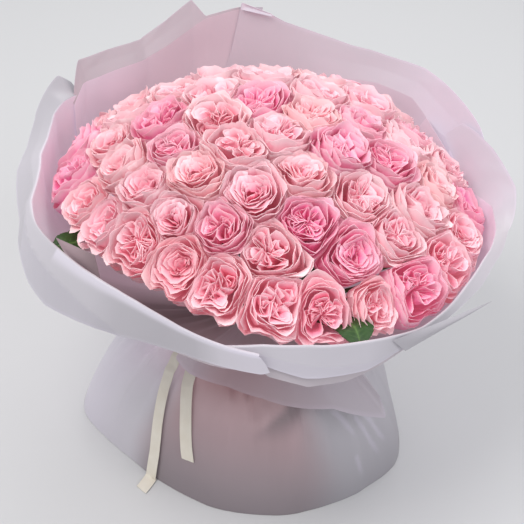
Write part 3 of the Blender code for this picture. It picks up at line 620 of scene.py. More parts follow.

# each sheet, inner to outer.  fold: height above the tie where the wall ends.  band: length of film
# past the fold.  pitch: the band's direction, 90 is up and -90 is down.  creaseAt and past: where a
# crease crosses the band, and the direction past it.  inset: how far the wall draws in under the
# fold.  spill and lean: degrees that the band's ends and the sheet's last edge run past its ends.
# inside and cuff: (azimuth, pink shade, painted glow, pale, painted shade), the shares of painted light and
# shade that tint the wall and the band.
wrapSheets = {
    "film_right": {
        "node": "wrap_right", "layer": 0, "ends": (-97, 30), "columns": 165,
        "fold": [(-97, 0.158), (-88, 0.172), (-79, 0.177), (-66, 0.172), (-59, 0.168), (-50, 0.160),
                 (-42, 0.161), (-37, 0.167), (-24, 0.176), (-12, 0.184), (0, 0.176), (14, 0.154), (22, 0.156),
                 (30, 0.168)],
        "band": [(-97, 0.002), (-88, 0.020), (-79, 0.036), (-66, 0.031), (-59, 0.017), (-50, 0.008),
                 (-42, 0.007), (-36, 0.009), (-30, 0.012), (-24, 0.011), (-12, 0.012), (0, 0.034),
                 (14, 0.058), (22, 0.052), (27, 0.040), (30, 0.012)],
        "pitch": [(-97, -74), (-55, -70), (-44, -58), (-34, -38), (-24, -22), (-12, 4), (0, 46), (14, 64),
                  (30, 70)],
        "past": [(-97, -84), (-60, -84), (-44, -64), (-34, -40), (-24, -24), (-12, 0), (0, 44), (14, 62),
                 (30, 68)],
        "creaseAt": [(-97, 0.30), (-74, 0.62), (-58, 0.80), (-44, 0.6), (30, 0.5)],
        "inset": [(-52, 0), (-40, 0.005), (-32, 0.013), (-22, 0.018), (-12, 0.015), (2, 0.016), (14, 0.017),
                  (30, 0.014)],
        "spill": 0.3, "lean": 6, "wave": 0.15,
        "inside": [(-97, 0.20, 0.2, 0.1, 0), (-50, 0.20, 0.2, 0.1, 0), (-32, 0.05, 0.8, 0.6, 0),
                   (-15, 0, 1, 1, 0), (8, 0, 1, 1, 0), (30, 0.02, 1, 0.7, 0)],
        "cuff": [(-97, 0, 0, 0.05, 0), (-79, 0, 0, 0.12, 0), (-66, 0, 0, 0.12, 0), (-58, 0, 0, 0, 0.12),
                 (-48, 0, 0, 0, 0.28), (-40, 0, 0, 0, 0.18), (-24, 0.05, 0.1, 0, 0.10),
                 (-12, 0.10, 0.05, 0, 0.12), (0, 0, 0.2, 0.4, 0), (30, 0, 0.5, 0.5, 0)]},
    "film_back_right": {
        "node": "wrap_back_right", "layer": 1, "ends": (22.5, 106.6), "columns": 130,
        "fold": [(22.5, 0.166), (40, 0.172), (45, 0.180), (51, 0.196), (62, 0.198), (72, 0.190),
                 (82, 0.182), (92, 0.176), (106.6, 0.180)],
        "band": [(22.5, 0.036), (27, 0.043), (40, 0.054), (45, 0.052), (51, 0.042), (62, 0.038), (72, 0.045),
                 (87, 0.064), (98, 0.081), (106.6, 0.090)],
        "pitch": [(22.5, 70), (45, 66), (60, 62), (72, 66), (82, 73), (92, 82), (106.6, 86)],
        "past": [(22.5, 76), (45, 72), (60, 68), (72, 70), (82, 75), (92, 82), (106.6, 86)],
        "creaseAt": [(22.5, 0.5), (106.6, 0.5)],
        "inset": [(22.5, 0.007), (60, 0.010), (82, 0.008), (95, 0.001), (106.6, 0)],
        "spill": -3.2, "lean": 0, "wave": 0.12,
        "inside": [(22, 0, 1, 0.8, 0), (50, 0.08, 0.8, 0.4, 0.05), (65, 0.10, 0.9, 0.3, 0),
                   (90, 0.20, 1, 0.1, 0), (107, 0.20, 1, 0, 0)],
        "cuff": [(22, 0, 0.9, 0.6, 0), (45, 0.02, 0.8, 0.5, 0), (60, 0.05, 0.4, 0.2, 0),
                 (72, 0.06, 0.3, 0.1, 0), (90, 0.08, 0.4, 0.1, 0), (107, 0.10, 0.6, 0.1, 0)]},
    "film_back_left": {
        "node": "wrap_back_left", "layer": 2, "ends": (97.5, 159), "columns": 120,
        "fold": [(97.5, 0.261), (104, 0.261), (113, 0.251), (116.5, 0.240), (124, 0.223), (131.5, 0.211),
                 (154, 0.213), (159, 0.195)],
        "band": [(97.5, 0.003), (113, 0.003), (116.5, 0.036), (124, 0.031), (131.5, 0.026), (152.5, 0.028),
                 (156, 0.016), (159, 0.004)],
        "pitch": [(97.5, 82), (113, 74), (131, 60), (145, 58), (159, 66)],
        "past": [(97.5, 82), (113, 76), (131, 64), (145, 62), (159, 68)],
        "creaseAt": [(97.5, 0.5), (159, 0.5)],
        "inset": [(97.5, 0), (110, 0.003), (125, 0.008), (159, 0.009)],
        "spill": 0, "lean": 0, "wave": 0.08,
        "inside": [(97, 0.26, 0.8, 0, 0), (125, 0.24, 0.9, 0, 0), (145, 0.05, 1, 0.5, 0),
                   (159, 0, 1, 0.8, 0)],
        "cuff": [(97, 0.16, 0.2, 0, 0.05), (115, 0.16, 0.2, 0, 0.05), (135, 0.18, 0.1, 0, 0.10),
                 (159, 0.18, 0.1, 0, 0.10)]},
    "film_left": {
        "node": "wrap_left", "layer": 3, "ends": (155, 271.5), "columns": 190,
        "fold": [(155, 0.199), (158, 0.205), (163, 0.208), (170, 0.204), (178, 0.196), (188, 0.190),
                 (200, 0.188), (210, 0.186), (222, 0.193), (234, 0.195), (245, 0.189), (255, 0.178),
                 (266, 0.171), (271.5, 0.169)],
        "band": [(155, 0.020), (157.6, 0.032), (163, 0.026), (170, 0.023), (178, 0.028), (188, 0.043),
                 (200, 0.052), (212, 0.076), (221, 0.078), (232, 0.060), (241, 0.045), (248, 0.033),
                 (256, 0.024), (264, 0.021), (270, 0.020), (271.5, 0.016)],
        "pitch": [(155, 40), (158, 36), (161, 20), (165, 0), (171, -18), (178, -30), (188, -40),
                  (200, -44), (214, -50), (232, -62), (245, -68), (255, -72), (271.5, -74)],
        "past": [(155, 40), (158, 36), (161, 18), (165, -4), (171, -24), (178, -38), (188, -56),
                 (200, -76), (214, -90), (241, -90), (271.5, -82)],
        "creaseAt": [(155, 0.5), (180, 0.4), (196, 0.05), (205, 0.13), (213, 0.22), (222, 0.30),
                     (230, 0.42), (236, 0.60), (241, 0.80), (244, 1), (271.5, 1)],
        "inset": [(155, 0.0095), (163, 0.010), (172, 0.013), (182, 0.009), (192, 0.003), (202, -0.004),
                  (210, -0.007), (218, -0.004), (228, 0), (250, 0), (260, -0.005), (271.5, -0.008)],
        "spill": 2.4, "lean": 0, "wave": 0.05,
        "inside": [(156, 0, 1, 0.8, 0), (185, 0.02, 1, 0.5, 0), (205, 0.10, 1, 0.2, 0),
                   (211, 0.25, 0.6, 0, 0.25), (218, 0.40, 0.2, 0, 0.60), (228, 0.40, 0, 0, 0.58),
                   (238, 0.35, 0, 0, 0.35), (248, 0.28, 0, 0, 0.10), (256, 0.15, 0.2, 0.2, 0),
                   (269, 0.15, 0.2, 0.2, 0)],
        "cuff": [(156, 0, 0, 0, 0.32), (165, 0, 0, 0, 0.28), (172, 0, 0, 0, 0.18), (183, 0, 0.1, 0, 0),
                 (200, 0, 0.1, 0, 0.03), (212, 0, 0, 0, 0.05), (224, 0, 0, 0, 0.11), (236, 0, 0, 0, 0.17),
                 (242, 0, 0, 0, 0.30), (251, 0, 0, 0, 0.32), (258, 0, 0, 0, 0.26), (263, 0, 0, 0.1, 0),
                 (269, 0, 0, 0.35, 0)]}}


# straight from row to row, for edges with corners
def between(rows, x):
    for (x0, y0), (x1, y1) in zip(rows, rows[1:]):
        if x <= x1:
            return y0 + (y1 - y0) * max(0, x - x0) / (x1 - x0)
    return rows[-1][1]


def rimShare(azimuth):
    away = min(1, abs(azimuth - wrap["flatAt"]) / wrap["flatReach"])
    scallop = wrap["scallop"] * math.cos(math.radians(6 * (azimuth - 104)))
    return wrap["rim"] + scallop - wrap["flat"] * (1 + math.cos(math.pi * away)) / 2


# 1 along a crease and falling off evenly to both sides of it, as folded film does
def creaseNoise(spot):
    return 1 - min(abs(noise.noise(spot)) * 3.2, 1)


# soft folds and crisp creases that all the sheets share, so that they lie over each other
def wrapCrumple(azimuth, rise):
    around = outwards(azimuth)
    soft = noise.noise(around * 2.7 + Vector((0, 0, rise * 4)))
    sharp = creaseNoise(around * 2.4 + Vector((5, 3, rise * 5.5)))
    fine = creaseNoise(around * 7.5 + Vector((1, 8, rise * 7)))
    spread = smoothStep(0.012, 0.06, rise)
    low = smoothStep(0.012, 0.03, rise) * (1 - smoothStep(0.06, 0.16, rise))
    return spread * (wrap["folds"] * soft + wrap["creases"] * (sharp - 0.4)) + wrap["gather"] * low * fine


# distance from the axis and height above the tie of the wall, outward metres off the innermost sheet
def wallPoint(azimuth, rise, outward):
    lift = min(max((rise - wrap["flare"]) / wrap["opens"], 0), 1)
    radius = through([(h, r) for r, h in wrapWall], rise) * (1 + lift * (rimShare(azimuth) - 1))
    upright = through(wrapUpright, rise)
    outward += wrap["pleatDepth"] * (1 - lift) * min(lift * 8, 1) * math.sin(math.radians(10 * azimuth))
    return radius + outward * upright, rise - outward * (1 - upright) * 0.9


# (length along the wall, height above the tie), so that rows of faces are even
def wallLengths():
    lengths, total = [(0, wrapWall[0][1])], 0
    for (r0, h0), (r1, h1) in zip(wrapWall, wrapWall[1:]):
        total += math.hypot(r1 - r0, h1 - h0)
        lengths.append((total, h1))
    return lengths


wallRun = wallLengths()
wallBack = [(h, s) for s, h in wallRun]


def sheetPlace(sheet):
    first, last = sheet["ends"]
    rollFrom, rollTo = wrap["rollFrom"], wrap["rollTo"]
    level = sheet["layer"]

    def place(across, along):
        azimuth = first + (last - first) * across
        inset, pitch, past = (through(sheet[key], azimuth) for key in ("inset", "pitch", "past"))
        fold, band, creaseAt = (between(sheet[key], azimuth) for key in ("fold", "band", "creaseAt"))
        wallShare = min(along / rollFrom, 1)
        rise = through(wallRun, wallShare * through(wallBack, fold)) if wallShare < 1 else fold
        outward = level * wrap["layer"] + wrapCrumple(azimuth, rise)
        drawnIn = inset * smoothStep(fold - wrap["folding"], fold, rise)
        far, high = wallPoint(azimuth, rise, outward - drawnIn)
        if along > rollFrom:
            share = min((along - rollFrom) / (rollTo - rollFrom), 1)
            radius = wrap["rollRadius"] * (1 + 0.3 * noise.noise(Vector((azimuth * 0.13, 4, level))))
            radius *= 0.25 + 0.75 * smoothStep(50, -40, pitch)
            start = math.radians(wrap["wallPitch"])
            now = math.radians(wrap["wallPitch"] + (pitch - wrap["wallPitch"]) * share)
            far += radius * (math.sin(start) - math.sin(now))
            high += radius * (math.cos(now) - math.cos(start))
        if along > rollTo:
            share = (along - rollTo) / (1 - rollTo)
            before, after = min(share, creaseAt) * band, max(share - creaseAt, 0) * band
            now, then = math.radians(pitch), math.radians(past)
            wave = noise.noise(Vector((azimuth * 0.055, 3 + level * 5, share * 0.8)))
            sharp = creaseNoise(Vector((azimuth * 0.05 + share * 0.8, 7, 1 + level))) - 0.3
            calm = smoothStep(0, 0.12, across) * smoothStep(0, 0.12, 1 - across) * min(band / 0.03, 1)
            out = share * (wrap["bandWave"] * wave + wrap["bandCrease"] * sharp) * calm * sheet["wave"]
            far += before * math.cos(now) + after * math.cos(then) - out * math.sin(now)
            high += before * math.sin(now) + after * math.sin(then) + out * math.cos(now)
            azimuth += sheet["spill"] * smoothStep(0.75, 1, across) * share ** 0.7
        azimuth += sheet["lean"] * smoothStep(0.3, 0.95, along) * smoothStep(0.6, 1, across)
        return polar(azimuth, far, tieHeight + high)

    return place


def finishFilm(piece, material, node, angle=32):
    thicken(piece, wrap["thick"])
    return finishPiece(piece, material, "film", node, angle=angle)


# a sheet's shares of painted pink shade, painted glow, pale painted light and painted shade at an azimuth
def tonesAt(rows, azimuth):
    return [between([(row[0], row[k]) for row in rows], azimuth) for k in (1, 2, 3, 4)]


# notes for the film's colour, painted light and shade: the blooms' pink light and shade painted on the wall's
# inside, a painted glow for the light that comes through it, the bluish paler film where light is painted on,
# painted shade on its underside and the facet past a cuff's crease painted paler
def noteTones(piece, sheet, spots):
    tones = []
    for across, along in spots:
        azimuth = sheet["ends"][0] + (sheet["ends"][1] - sheet["ends"][0]) * across
        cuff = smoothStep(wrap["rollFrom"], wrap["rollTo"], along)
        inside, outside = tonesAt(sheet["inside"], azimuth), tonesAt(sheet["cuff"], azimuth)
        tone = [a + (b - a) * cuff for a, b in zip(inside, outside)]
        share = (along - wrap["rollTo"]) / (1 - wrap["rollTo"])
        crease = between(sheet["creaseAt"], azimuth)
        # painted light: the facet past a cuff's crease is painted paler, a painted highlight runs along the
        # film's edge, and on the left sheet's cuff a painted highlight follows the fold, with its painted
        # shade taken off there
        if azimuth < -55 or (crease < 1 and azimuth > 205):
            tone[2] += 0.30 * smoothStep(crease - 0.01, crease + 0.01, share)
        tone[2] += 0.35 * smoothStep(0.97, 0.995, along)
        if azimuth > 222:
            tone[2] += 0.6 * (1 - smoothStep(0.02, 0.17, abs(share - 0.03)))
            tone[3] *= smoothStep(0.0, 0.2, abs(share - 0.03))
        tones.append(tone)
    for k, note in enumerate(("pinkShade", "paintedGlow", "pale", "paintedShade")):
        noteOnPoints(piece, note, [tone[k] for tone in tones])


def makeWrapSheet(name, sheet, material):
    spots = []
    laid = sheetPlace(sheet)

    def place(across, along):
        spots.append((across, along))
        return laid(across, along)

    piece = laidGrid(name, sheet["columns"], wrap["rows"], place)
    noteTones(piece, sheet, spots)
    return finishFilm(piece, material, sheet["node"])


# flat pieces of folded film, by their corners: (azimuth, distance from the axis, height above the tie), each
# with shares of painted pink shade, painted glow, pale painted light and painted shade
filmPatches = {
    "film_inner_flap": {
        "node": "wrap_left", "pinkShade": 0.5, "paintedGlow": 0, "pale": 0, "paintedShade": 0.35,
        "low": [(213, 0.256, 0.148), (224, 0.238, 0.140)], "top": [(207, 0.258, 0.152), (222, 0.240, 0.168)]},
    "film_back_tip": {
        "node": "wrap_back_right", "pinkShade": 0.05, "paintedGlow": 0.7, "pale": 0.4, "paintedShade": 0,
        "low": [(103.6, 0.2800, 0.2640), (95, 0.2795, 0.2560)],
        "top": [(103.4, 0.2822, 0.2730), (95, 0.2812, 0.2590)]},
    "film_right_facet": {
        "node": "wrap_right", "pinkShade": 0.12, "paintedGlow": 1, "pale": 0.6, "paintedShade": 0,
        "low": [(50, 0.252, 0.120), (15, 0.252, 0.070)], "top": [(43, 0.259, 0.189), (23.5, 0.258, 0.155)]},
    "film_right_point": {
        "node": "wrap_right", "pinkShade": 0, "paintedGlow": 0, "pale": 0, "paintedShade": 0.25,
        "low": [(-57, 0.286, 0.153), (-38.4, 0.3055, 0.1890)],
        "top": [(-60, 0.2815, 0.1680), (-38, 0.3065, 0.1900)]}}


def makePatch(name, patch, material):
    low, top = ([polar(a, r, tieHeight + h) for a, r, h in patch[side]] for side in ("low", "top"))

    def place(across, along):
        spot = low[0].lerp(low[1], across).lerp(top[0].lerp(top[1], across), along)
        swell = 0.003 * math.sin(math.pi * across) * math.sin(math.pi * along)
        return spot + swell * Vector((spot.x - axisX, spot.y - axisY, 0)).normalized()

    piece = laidGrid(name, 24, 16, place)
    for note in ("pinkShade", "paintedGlow", "pale", "paintedShade"):
        noteOnPoints(piece, note, patch[note])
    return finishFilm(piece, material, patch["node"])


# the skirt's hem: (azimuth, distance from the axis)
skirtHem = [(-170, 0.216), (-150, 0.192), (-120, 0.182), (-90, 0.190), (-60, 0.200), (-37, 0.207),
            (-20, 0.220), (10, 0.200), (50, 0.196), (90, 0.198), (130, 0.196), (165, 0.202)]
skirtHem = [(a - 360, r) for a, r in skirtHem[-3:]] + skirtHem + [(a + 360, r) for a, r in skirtHem[:3]]
skirt = {"neck": 0.0459, "top": -0.001, "flare": -0.0098, "hem": 0.0006, "thick": 0.0004, "pleats": 9,
         "pleatDepth": 0.0035, "hollow": 0.055, "rightHollow": 0.035, "hollowPower": 1.6, "columns": 320,
         "rows": 54, "gather": 0.0085, "soft": 0.004}
# the short tuck under the flap: azimuth and share of its middle, degrees that it leans, and its ridge
tuck = {"at": -80, "share": 0.57, "lean": 81, "ridge": 0.006}
# the skirt's long creases: (azimuth, share where it starts, half width in degrees, height, turn)
skirtCreases = [(-165, 0.05, 13, 0.007, 4), (-146, 0.0, 7, 0.009, -5), (-133, 0.0, 5, -0.005, 3),
                (-88, 0.0, 9, -0.006, 5), (-74, 0.05, 8, 0.010, 8), (-60, 0.1, 7, -0.008, -3),
                (-46, 0.0, 8, 0.012, 5), (-36, 0.25, 3.4, 0.005, 3), (-31, 0.30, 2.6, 0.004, 2),
                (-18, 0.0, 9, -0.007, 6), (4, 0.05, 11, 0.010, 4), (30, 0.0, 10, -0.007, -5),
                (55, 0.1, 9, 0.009, 5), (80, 0.0, 12, -0.006, 4), (104, 0.05, 10, 0.009, -5),
                (130, 0.0, 11, -0.007, 3), (156, 0.1, 9, 0.008, -4)]


# degrees to the right of the tuck
def tuckAway(azimuth, share):
    return azimuth - tuck["at"] - tuck["lean"] * (tuck["share"] - share)


# the skirt lies smooth under the ribbon's tails
def skirtFree(azimuth):
    return 1 - 0.75 * (1 - smoothStep(11, 20, abs((azimuth + 118 + 180) % 360 - 180)))


def skirtCrumple(azimuth, share):
    total = 0
    for at, start, wide, high, turn in skirtCreases:
        away = (azimuth - at - turn * share + 180) % 360 - 180
        width = wide * (0.45 + share)
        ridge = max(0, 1 - abs(away) / width)
        fade = 1 - 0.8 * smoothStep(0.55, 1, share)
        total += high * ridge * smoothStep(start, start + 0.3, share) * fade
    around = outwards(azimuth)
    broad = noise.noise(around * 2.2 + Vector((3, 1, share * 1.6)))
    total += skirt["soft"] * broad * smoothStep(0.1, 0.5, share)
    away = tuckAway(azimuth, share)
    length = smoothStep(0.30, 0.42, share) * (1 - smoothStep(0.48, 0.62, share))
    side = smoothStep(-16, 0, away) * (1 - smoothStep(0, 7, away))
    total += tuck["ridge"] * side * length
    gather = (1 - smoothStep(0.20, 0.75, share)) * smoothStep(0, 0.05, share)
    pleat = creaseNoise(around * 6 + Vector((2, 6, share * 2.2))) - 0.3
    small = creaseNoise(around * 13 + Vector((1, 1, share * 7))) - 0.3
    return (total + skirt["gather"] * gather * (pleat + 0.35 * small)) * skirtFree(azimuth)


def skirtPoint(azimuth, share, outward=0.0, crumpled=True):
    azimuth = (azimuth + 180) % 360 - 180
    hem = through(skirtHem, azimuth)
    turn = share * math.pi / 2
    right = smoothStep(-60, -25, azimuth) * (1 - smoothStep(20, 60, azimuth))
    hollow = skirt["hollow"] + skirt["rightHollow"] * right
    hollow *= math.sin(math.pi * share ** skirt["hollowPower"])
    radius = skirt["neck"] + (hem - skirt["neck"]) * (math.sin(turn) - hollow)
    z = skirt["hem"] + (tieHeight + skirt["flare"] - skirt["hem"]) * math.cos(turn)
    depth = skirt["pleatDepth"] * math.sin(2 * turn) * (1 - share)
    out = outward + depth * math.sin(math.radians(skirt["pleats"] * azimuth))
    if crumpled:
        out += skirtCrumple(azimuth, share)
    return polar(azimuth, radius + out * math.sin(turn), z + out * math.cos(turn) * 0.8)


# the film's pinker, darker front: a second layer's pink, with the blooms' pink light and shade painted on
def skirtPinkShade(azimuth, share):
    away = abs((azimuth + 94 + 180) % 360 - 180)
    front = 1 - smoothStep(26, 46, away + 8 * noise.noise(Vector((share * 3, 1, 1))))
    gather = (1 - smoothStep(0.15, 0.5, share)) * (1 - smoothStep(60, 110, away))
    upper = (1 - smoothStep(0.25, 0.6, share)) * (1 - smoothStep(18, 40, abs(azimuth + 112)))
    return min(1, 0.62 * front * (1 - 0.4 * smoothStep(0.6, 1, share)) + 0.25 * gather + 0.25 * upper)


# painted highlights, the skirt's bright streaks: (azimuth, share where it starts, azimuth, share where it
# ends)
skirtHighlightStreaks = [(-48, 0.52, -39.5, 0.72), (-37.5, 0.60, -28.5, 0.89), (-32, 0.62, -23.5, 0.86),
                (-41.5, 0.78, -38.3, 0.94)]


# painted light: the left of the skirt is painted brighter, and painted highlights run down its right in
# streaks
def skirtPaintedLight(azimuth, share):
    left = 1 - smoothStep(14, 44, abs((azimuth - 178 + 180) % 360 - 180))
    streaks = 0
    for at, start, to, end in skirtHighlightStreaks:
        away = abs(azimuth - at - (to - at) * (share - start) / (end - start))
        length = smoothStep(start, start + 0.03, share) * (1 - smoothStep(end - 0.08, end, share))
        streaks += (1 - smoothStep(0.4, 1.7, away)) * length
    return min(1, 0.5 * left + 0.75 * streaks)


# painted glow: the film glows beside the knot, in place of light shining through it
def skirtPaintedGlow(azimuth, share):
    beside = 1 - smoothStep(8, 30, abs(azimuth + 146 - 30 * (0.5 - share)))
    return beside * smoothStep(0.08, 0.2, share) * (1 - smoothStep(0.35, 0.75, share))


# the shade low on the skirt: (share, shade in front, shade at the right)
skirtShade = [(0, 0, 0.05), (0.4, 0, 0.12), (0.55, 0.06, 0.20), (0.65, 0.26, 0.24), (0.8, 0.50, 0.34),
              (0.92, 0.64, 0.44), (1, 0.68, 0.50)]


# the bottom of the skirt's front, its right and the tuck lie in shade
def skirtPaintedShade(azimuth, share):
    front = smoothStep(-142, -124, azimuth) * (1 - smoothStep(-68, -42, azimuth))
    right = smoothStep(-68, -42, azimuth) * (1 - smoothStep(20, 60, azimuth))
    middle, aside = (between([(row[0], row[k]) for row in skirtShade], share) for k in (1, 2))
    away = tuckAway(azimuth, share)
    length = smoothStep(0.30, 0.42, share) * (1 - smoothStep(0.50, 0.66, share))
    under = smoothStep(-3, 2.5, away) * (1 - smoothStep(4, 20, away)) * length
    return min(0.8, front * middle + right * aside + 0.58 * under)


def makeSkirt(material):
    spots = []

    def place(across, along):
        azimuth = -180 + 360 * across
        share = max(0, (along - 0.03) / 0.97) ** 1.15
        spots.append((azimuth, share))
        if along < 0.03:
            return polar(azimuth, skirt["neck"], tieHeight + skirt["top"])
        return skirtPoint(azimuth, share)

    piece = laidGrid("film_skirt", skirt["columns"], skirt["rows"], place)
    for note, tone in (("pinkShade", skirtPinkShade), ("pale", skirtPaintedLight), ("paintedGlow", skirtPaintedGlow), ("paintedShade", skirtPaintedShade)):
        noteOnPoints(piece, note, [tone(azimuth, share) for azimuth, share in spots])
    closeTube(piece, caps=False)
    thicken(piece, skirt["thick"])
    return finishPiece(piece, material, "film", "wrap_skirt", angle=32)


# a piece of film that fans out to the right from the tie, under the turned-out cuff
flap = {"from": -150, "to": -26, "columns": 130, "rows": 40, "neck": 0.0485, "start": 0.0095, "swell": 0.012,
        "pleat": 0.0050, "broad": 0.004}
# the flap's outer edge: (azimuth, distance from the axis, height above the tie)
flapEdge = [(-150, 0.104, -0.044), (-136, 0.126, -0.036), (-120, 0.142, -0.025), (-99, 0.148, -0.016),
            (-83, 0.152, -0.024), (-74, 0.160, -0.029), (-55, 0.180, -0.031), (-34, 0.209, -0.066),
            (-31.5, 0.190, -0.046), (-26, 0.115, -0.012)]


def makeFlap(material):
    rows = [(a, r) for a, r, h in flapEdge]
    drops = [(a, h) for a, r, h in flapEdge]
    pinkShade, paintedShade, pale = [], [], []

    def place(across, along):
        azimuth = flap["from"] + (flap["to"] - flap["from"]) * across
        # painted tones: pink shade that fades to the right, painted shade from the middle on, the left
        # painted paler and a painted highlight along the outer edge
        middle = smoothStep(-125, -100, azimuth)
        pinkShade.append((0.40 + 0.40 * middle - 0.65 * smoothStep(-95, -45, azimuth)) * (1 - 0.3 * along))
        paintedShade.append(0.20 * smoothStep(-112, -92, azimuth))
        left = 1 - smoothStep(-120, -102, azimuth)
        pale.append(0.1 + 0.35 * left + 0.5 * smoothStep(0.96, 0.99, along))
        reach, drop = between(rows, azimuth), between(drops, azimuth)
        far = flap["neck"] + (reach - flap["neck"]) * along
        high = -flap["start"] + (drop + flap["start"]) * along ** 1.35
        high += flap["swell"] * math.sin(math.pi * along)
        around = outwards(azimuth)
        pleat = creaseNoise(around * 5.5 + Vector((4, 4, along * 0.8))) - 0.3
        broad = noise.noise(around * 2.6 + Vector((8, 1, along * 1.2)))
        spread = smoothStep(0, 0.25, along)
        high += spread * (flap["pleat"] * pleat * (1 - along) + flap["broad"] * broad * (1 - 0.6 * along))
        return polar(azimuth, far, tieHeight + high)

    piece = laidGrid("film_flap", flap["columns"], flap["rows"], place)
    for note, tone in (("pinkShade", pinkShade), ("pale", pale), ("paintedShade", paintedShade)):
        noteOnPoints(piece, note, tone)
    return finishFilm(piece, material, "wrap_skirt", angle=35)


# how far the second layer reaches under the front of the right cuff: (azimuth, length)
underCuff = [(-93, 0.004), (-86, 0.032), (-78, 0.045), (-70, 0.040), (-62, 0.027), (-54, 0.011), (-46, 0.003)]


# a second layer of film that shows as a crescent under the front of the right cuff
def makeUnderCuff(material):
    first, last = underCuff[0][0], underCuff[-1][0]

    def place(across, along):
        azimuth = first + (last - first) * across
        length = between(underCuff, azimuth)
        fold = through(wrapSheets["film_right"]["fold"], azimuth)
        far, high = wallPoint(azimuth, fold - 0.004, 0)
        wave = noise.noise(Vector((azimuth * 0.08, along * 1.5, 6)))
        far += 0.0026 + along * length * 0.19 + 0.0015 * wave * along
        high += -0.002 - along * length * 0.97
        return polar(azimuth, far, tieHeight + high)

    piece = laidGrid("film_under_cuff", 80, 16, place)
    # a little painted pink shade
    noteOnPoints(piece, "pinkShade", 0.15)
    return finishFilm(piece, material, "wrap_right", angle=35)


ribbon = {"width": 0.016, "thick": 0.0005, "clear": 0.0026, "band": 0.0473, "slant": 0.30, "reach": 0.04}
# each tail's route down the skirt: (azimuth, share of the way from the neck to the hem), past 1 on the floor
ribbonTails = [
    [(-140, 0.14), (-139, 0.30), (-137, 0.44), (-134.5, 0.55), (-131, 0.68), (-127.5, 0.82),
     (-126, 0.93), (-125, 1.2), (-124, 1.6)],
    [(-122, 0.14), (-128, 0.30), (-124, 0.44), (-119.5, 0.56), (-115, 0.69), (-111, 0.81)]]


def tailPoint(route, t, outward):
    spot = t * (len(route) - 1)
    azimuth = through([(k, a) for k, (a, s) in enumerate(route)], spot)
    share = through([(k, s) for k, (a, s) in enumerate(route)], spot)
    if share <= 1:
        near = [(azimuth + aside, share + down) for aside in (-4, 0, 4) for down in (-0.06, 0, 0.06)]
        lift = max(0, max(skirtCrumple(*spot) for spot in near)) + ribbon["clear"]
        return skirtPoint(azimuth, share, lift + outward, crumpled=False)
    foot = skirtPoint(azimuth, 1, ribbon["clear"] + (share - 1) * ribbon["reach"], crumpled=False)
    return Vector((foot.x, foot.y, 0.0006 + outward))


def makeTail(number, route, material):
    start = polar(route[0][0], ribbon["band"] + 0.0016, tieHeight - 0.003)

    def middle(t, outward=0.0):
        if t < 0.06:
            share = t / 0.06
            arch = Vector((0, 0, 0.001 * math.sin(math.pi * share)))
            return start.lerp(tailPoint(route, 0, outward), share) + arch
        return tailPoint(route, (t - 0.06) / 0.94, outward)

    steps = [middle(k / 240) for k in range(241)]
    length = sum((b - a).length for a, b in zip(steps, steps[1:]))

    def place(across, along):
        u = across - 0.5
        t = min(max(along, 0.0), 1.0)
        centre = middle(t)
        ahead = (middle(min(t + 0.01, 1)) - middle(max(t - 0.01, 0))).normalized()
        out = (middle(t, 0.004) - centre).normalized()
        sideways = out.cross(ahead).normalized()
        swing = 0.0016 * noise.noise(Vector((t * 5 + number * 3, 2, 2))) * smoothStep(0.1, 0.3, t)
        cup = 0.0012 * (4 * u * u) * math.cos(t * 7 + number * 2)
        slant = ahead * (2 * u * ribbon["slant"] * ribbon["width"] / 2 * smoothStep(0.9, 1, t))
        lift = max(0, cup) + 0.0010 * max(0, noise.noise(Vector((t * 9, u * 3, number * 4.0))))
        return centre + sideways * (u * ribbon["width"] + swing) + out * lift + slant

    tail = laidGrid("ribbon_tail_%d" % (number + 1), 8, 110, place)
    thicken(tail, ribbon["thick"])
    finishPiece(tail, material, "ribbon", "ribbon", angle=40)
    print("ribbon tail", number + 1, "length", round(length, 4))


def closeTube(piece, caps=True):
    pickOnly(piece)
    bpy.ops.object.mode_set(mode="EDIT")
    bpy.ops.mesh.select_all(action="SELECT")
    bpy.ops.mesh.remove_doubles(threshold=0.00001)
    if caps:
        bpy.ops.mesh.fill_holes(sides=0)
    bpy.ops.mesh.select_all(action="SELECT")
    bpy.ops.mesh.normals_make_consistent(inside=False)
    bpy.ops.object.mode_set(mode="OBJECT")


def makeRibbonBand(material):
    def place(across, along):
        azimuth = 360 * across
        knot = math.exp(-(((azimuth - 229 + 180) % 360 - 180) / 9) ** 2)
        wide = ribbon["width"] * (1 - 0.45 * knot)
        spot = Vector((math.cos(math.radians(azimuth)) * 6, along * 6, azimuth * 0.01))
        far = ribbon["band"] + 0.0002 + 0.0005 * noise.noise(spot) + 0.0004 * knot
        return polar(azimuth, far, tieHeight + wide * (along - 0.5))

    band = laidGrid("ribbon_band", 120, 8, place)
    closeTube(band, caps=False)
    thicken(band, ribbon["thick"])
    bpy.ops.mesh.primitive_uv_sphere_add(segments=28, ring_count=16, radius=1)
    knot = bpy.context.object
    knot.name = "ribbon_knot"
    centre = polar(-131, ribbon["band"] + 0.0034, tieHeight - 0.001)
    out = (centre - Vector((axisX, axisY, centre.z))).normalized()
    side = Vector((0, 0, 1)).cross(out)
    for point in knot.data.vertices:
        p = point.co.copy()
        pinch = 1 - 0.28 * math.exp(-(p.x / 0.5) ** 2)
        crease = 1 + 0.10 * math.sin(9 * math.atan2(p.z, p.y) + 3 * p.x)
        rounded = (out * p.y * 0.0042 + Vector((0, 0, p.z * 0.0078))) * pinch * crease
        point.co = centre + side * p.x * 0.0095 + rounded
    finishPiece(knot, material, "ribbon", "ribbon", angle=60)
    return finishPiece(band, material, "ribbon", "ribbon", angle=40)


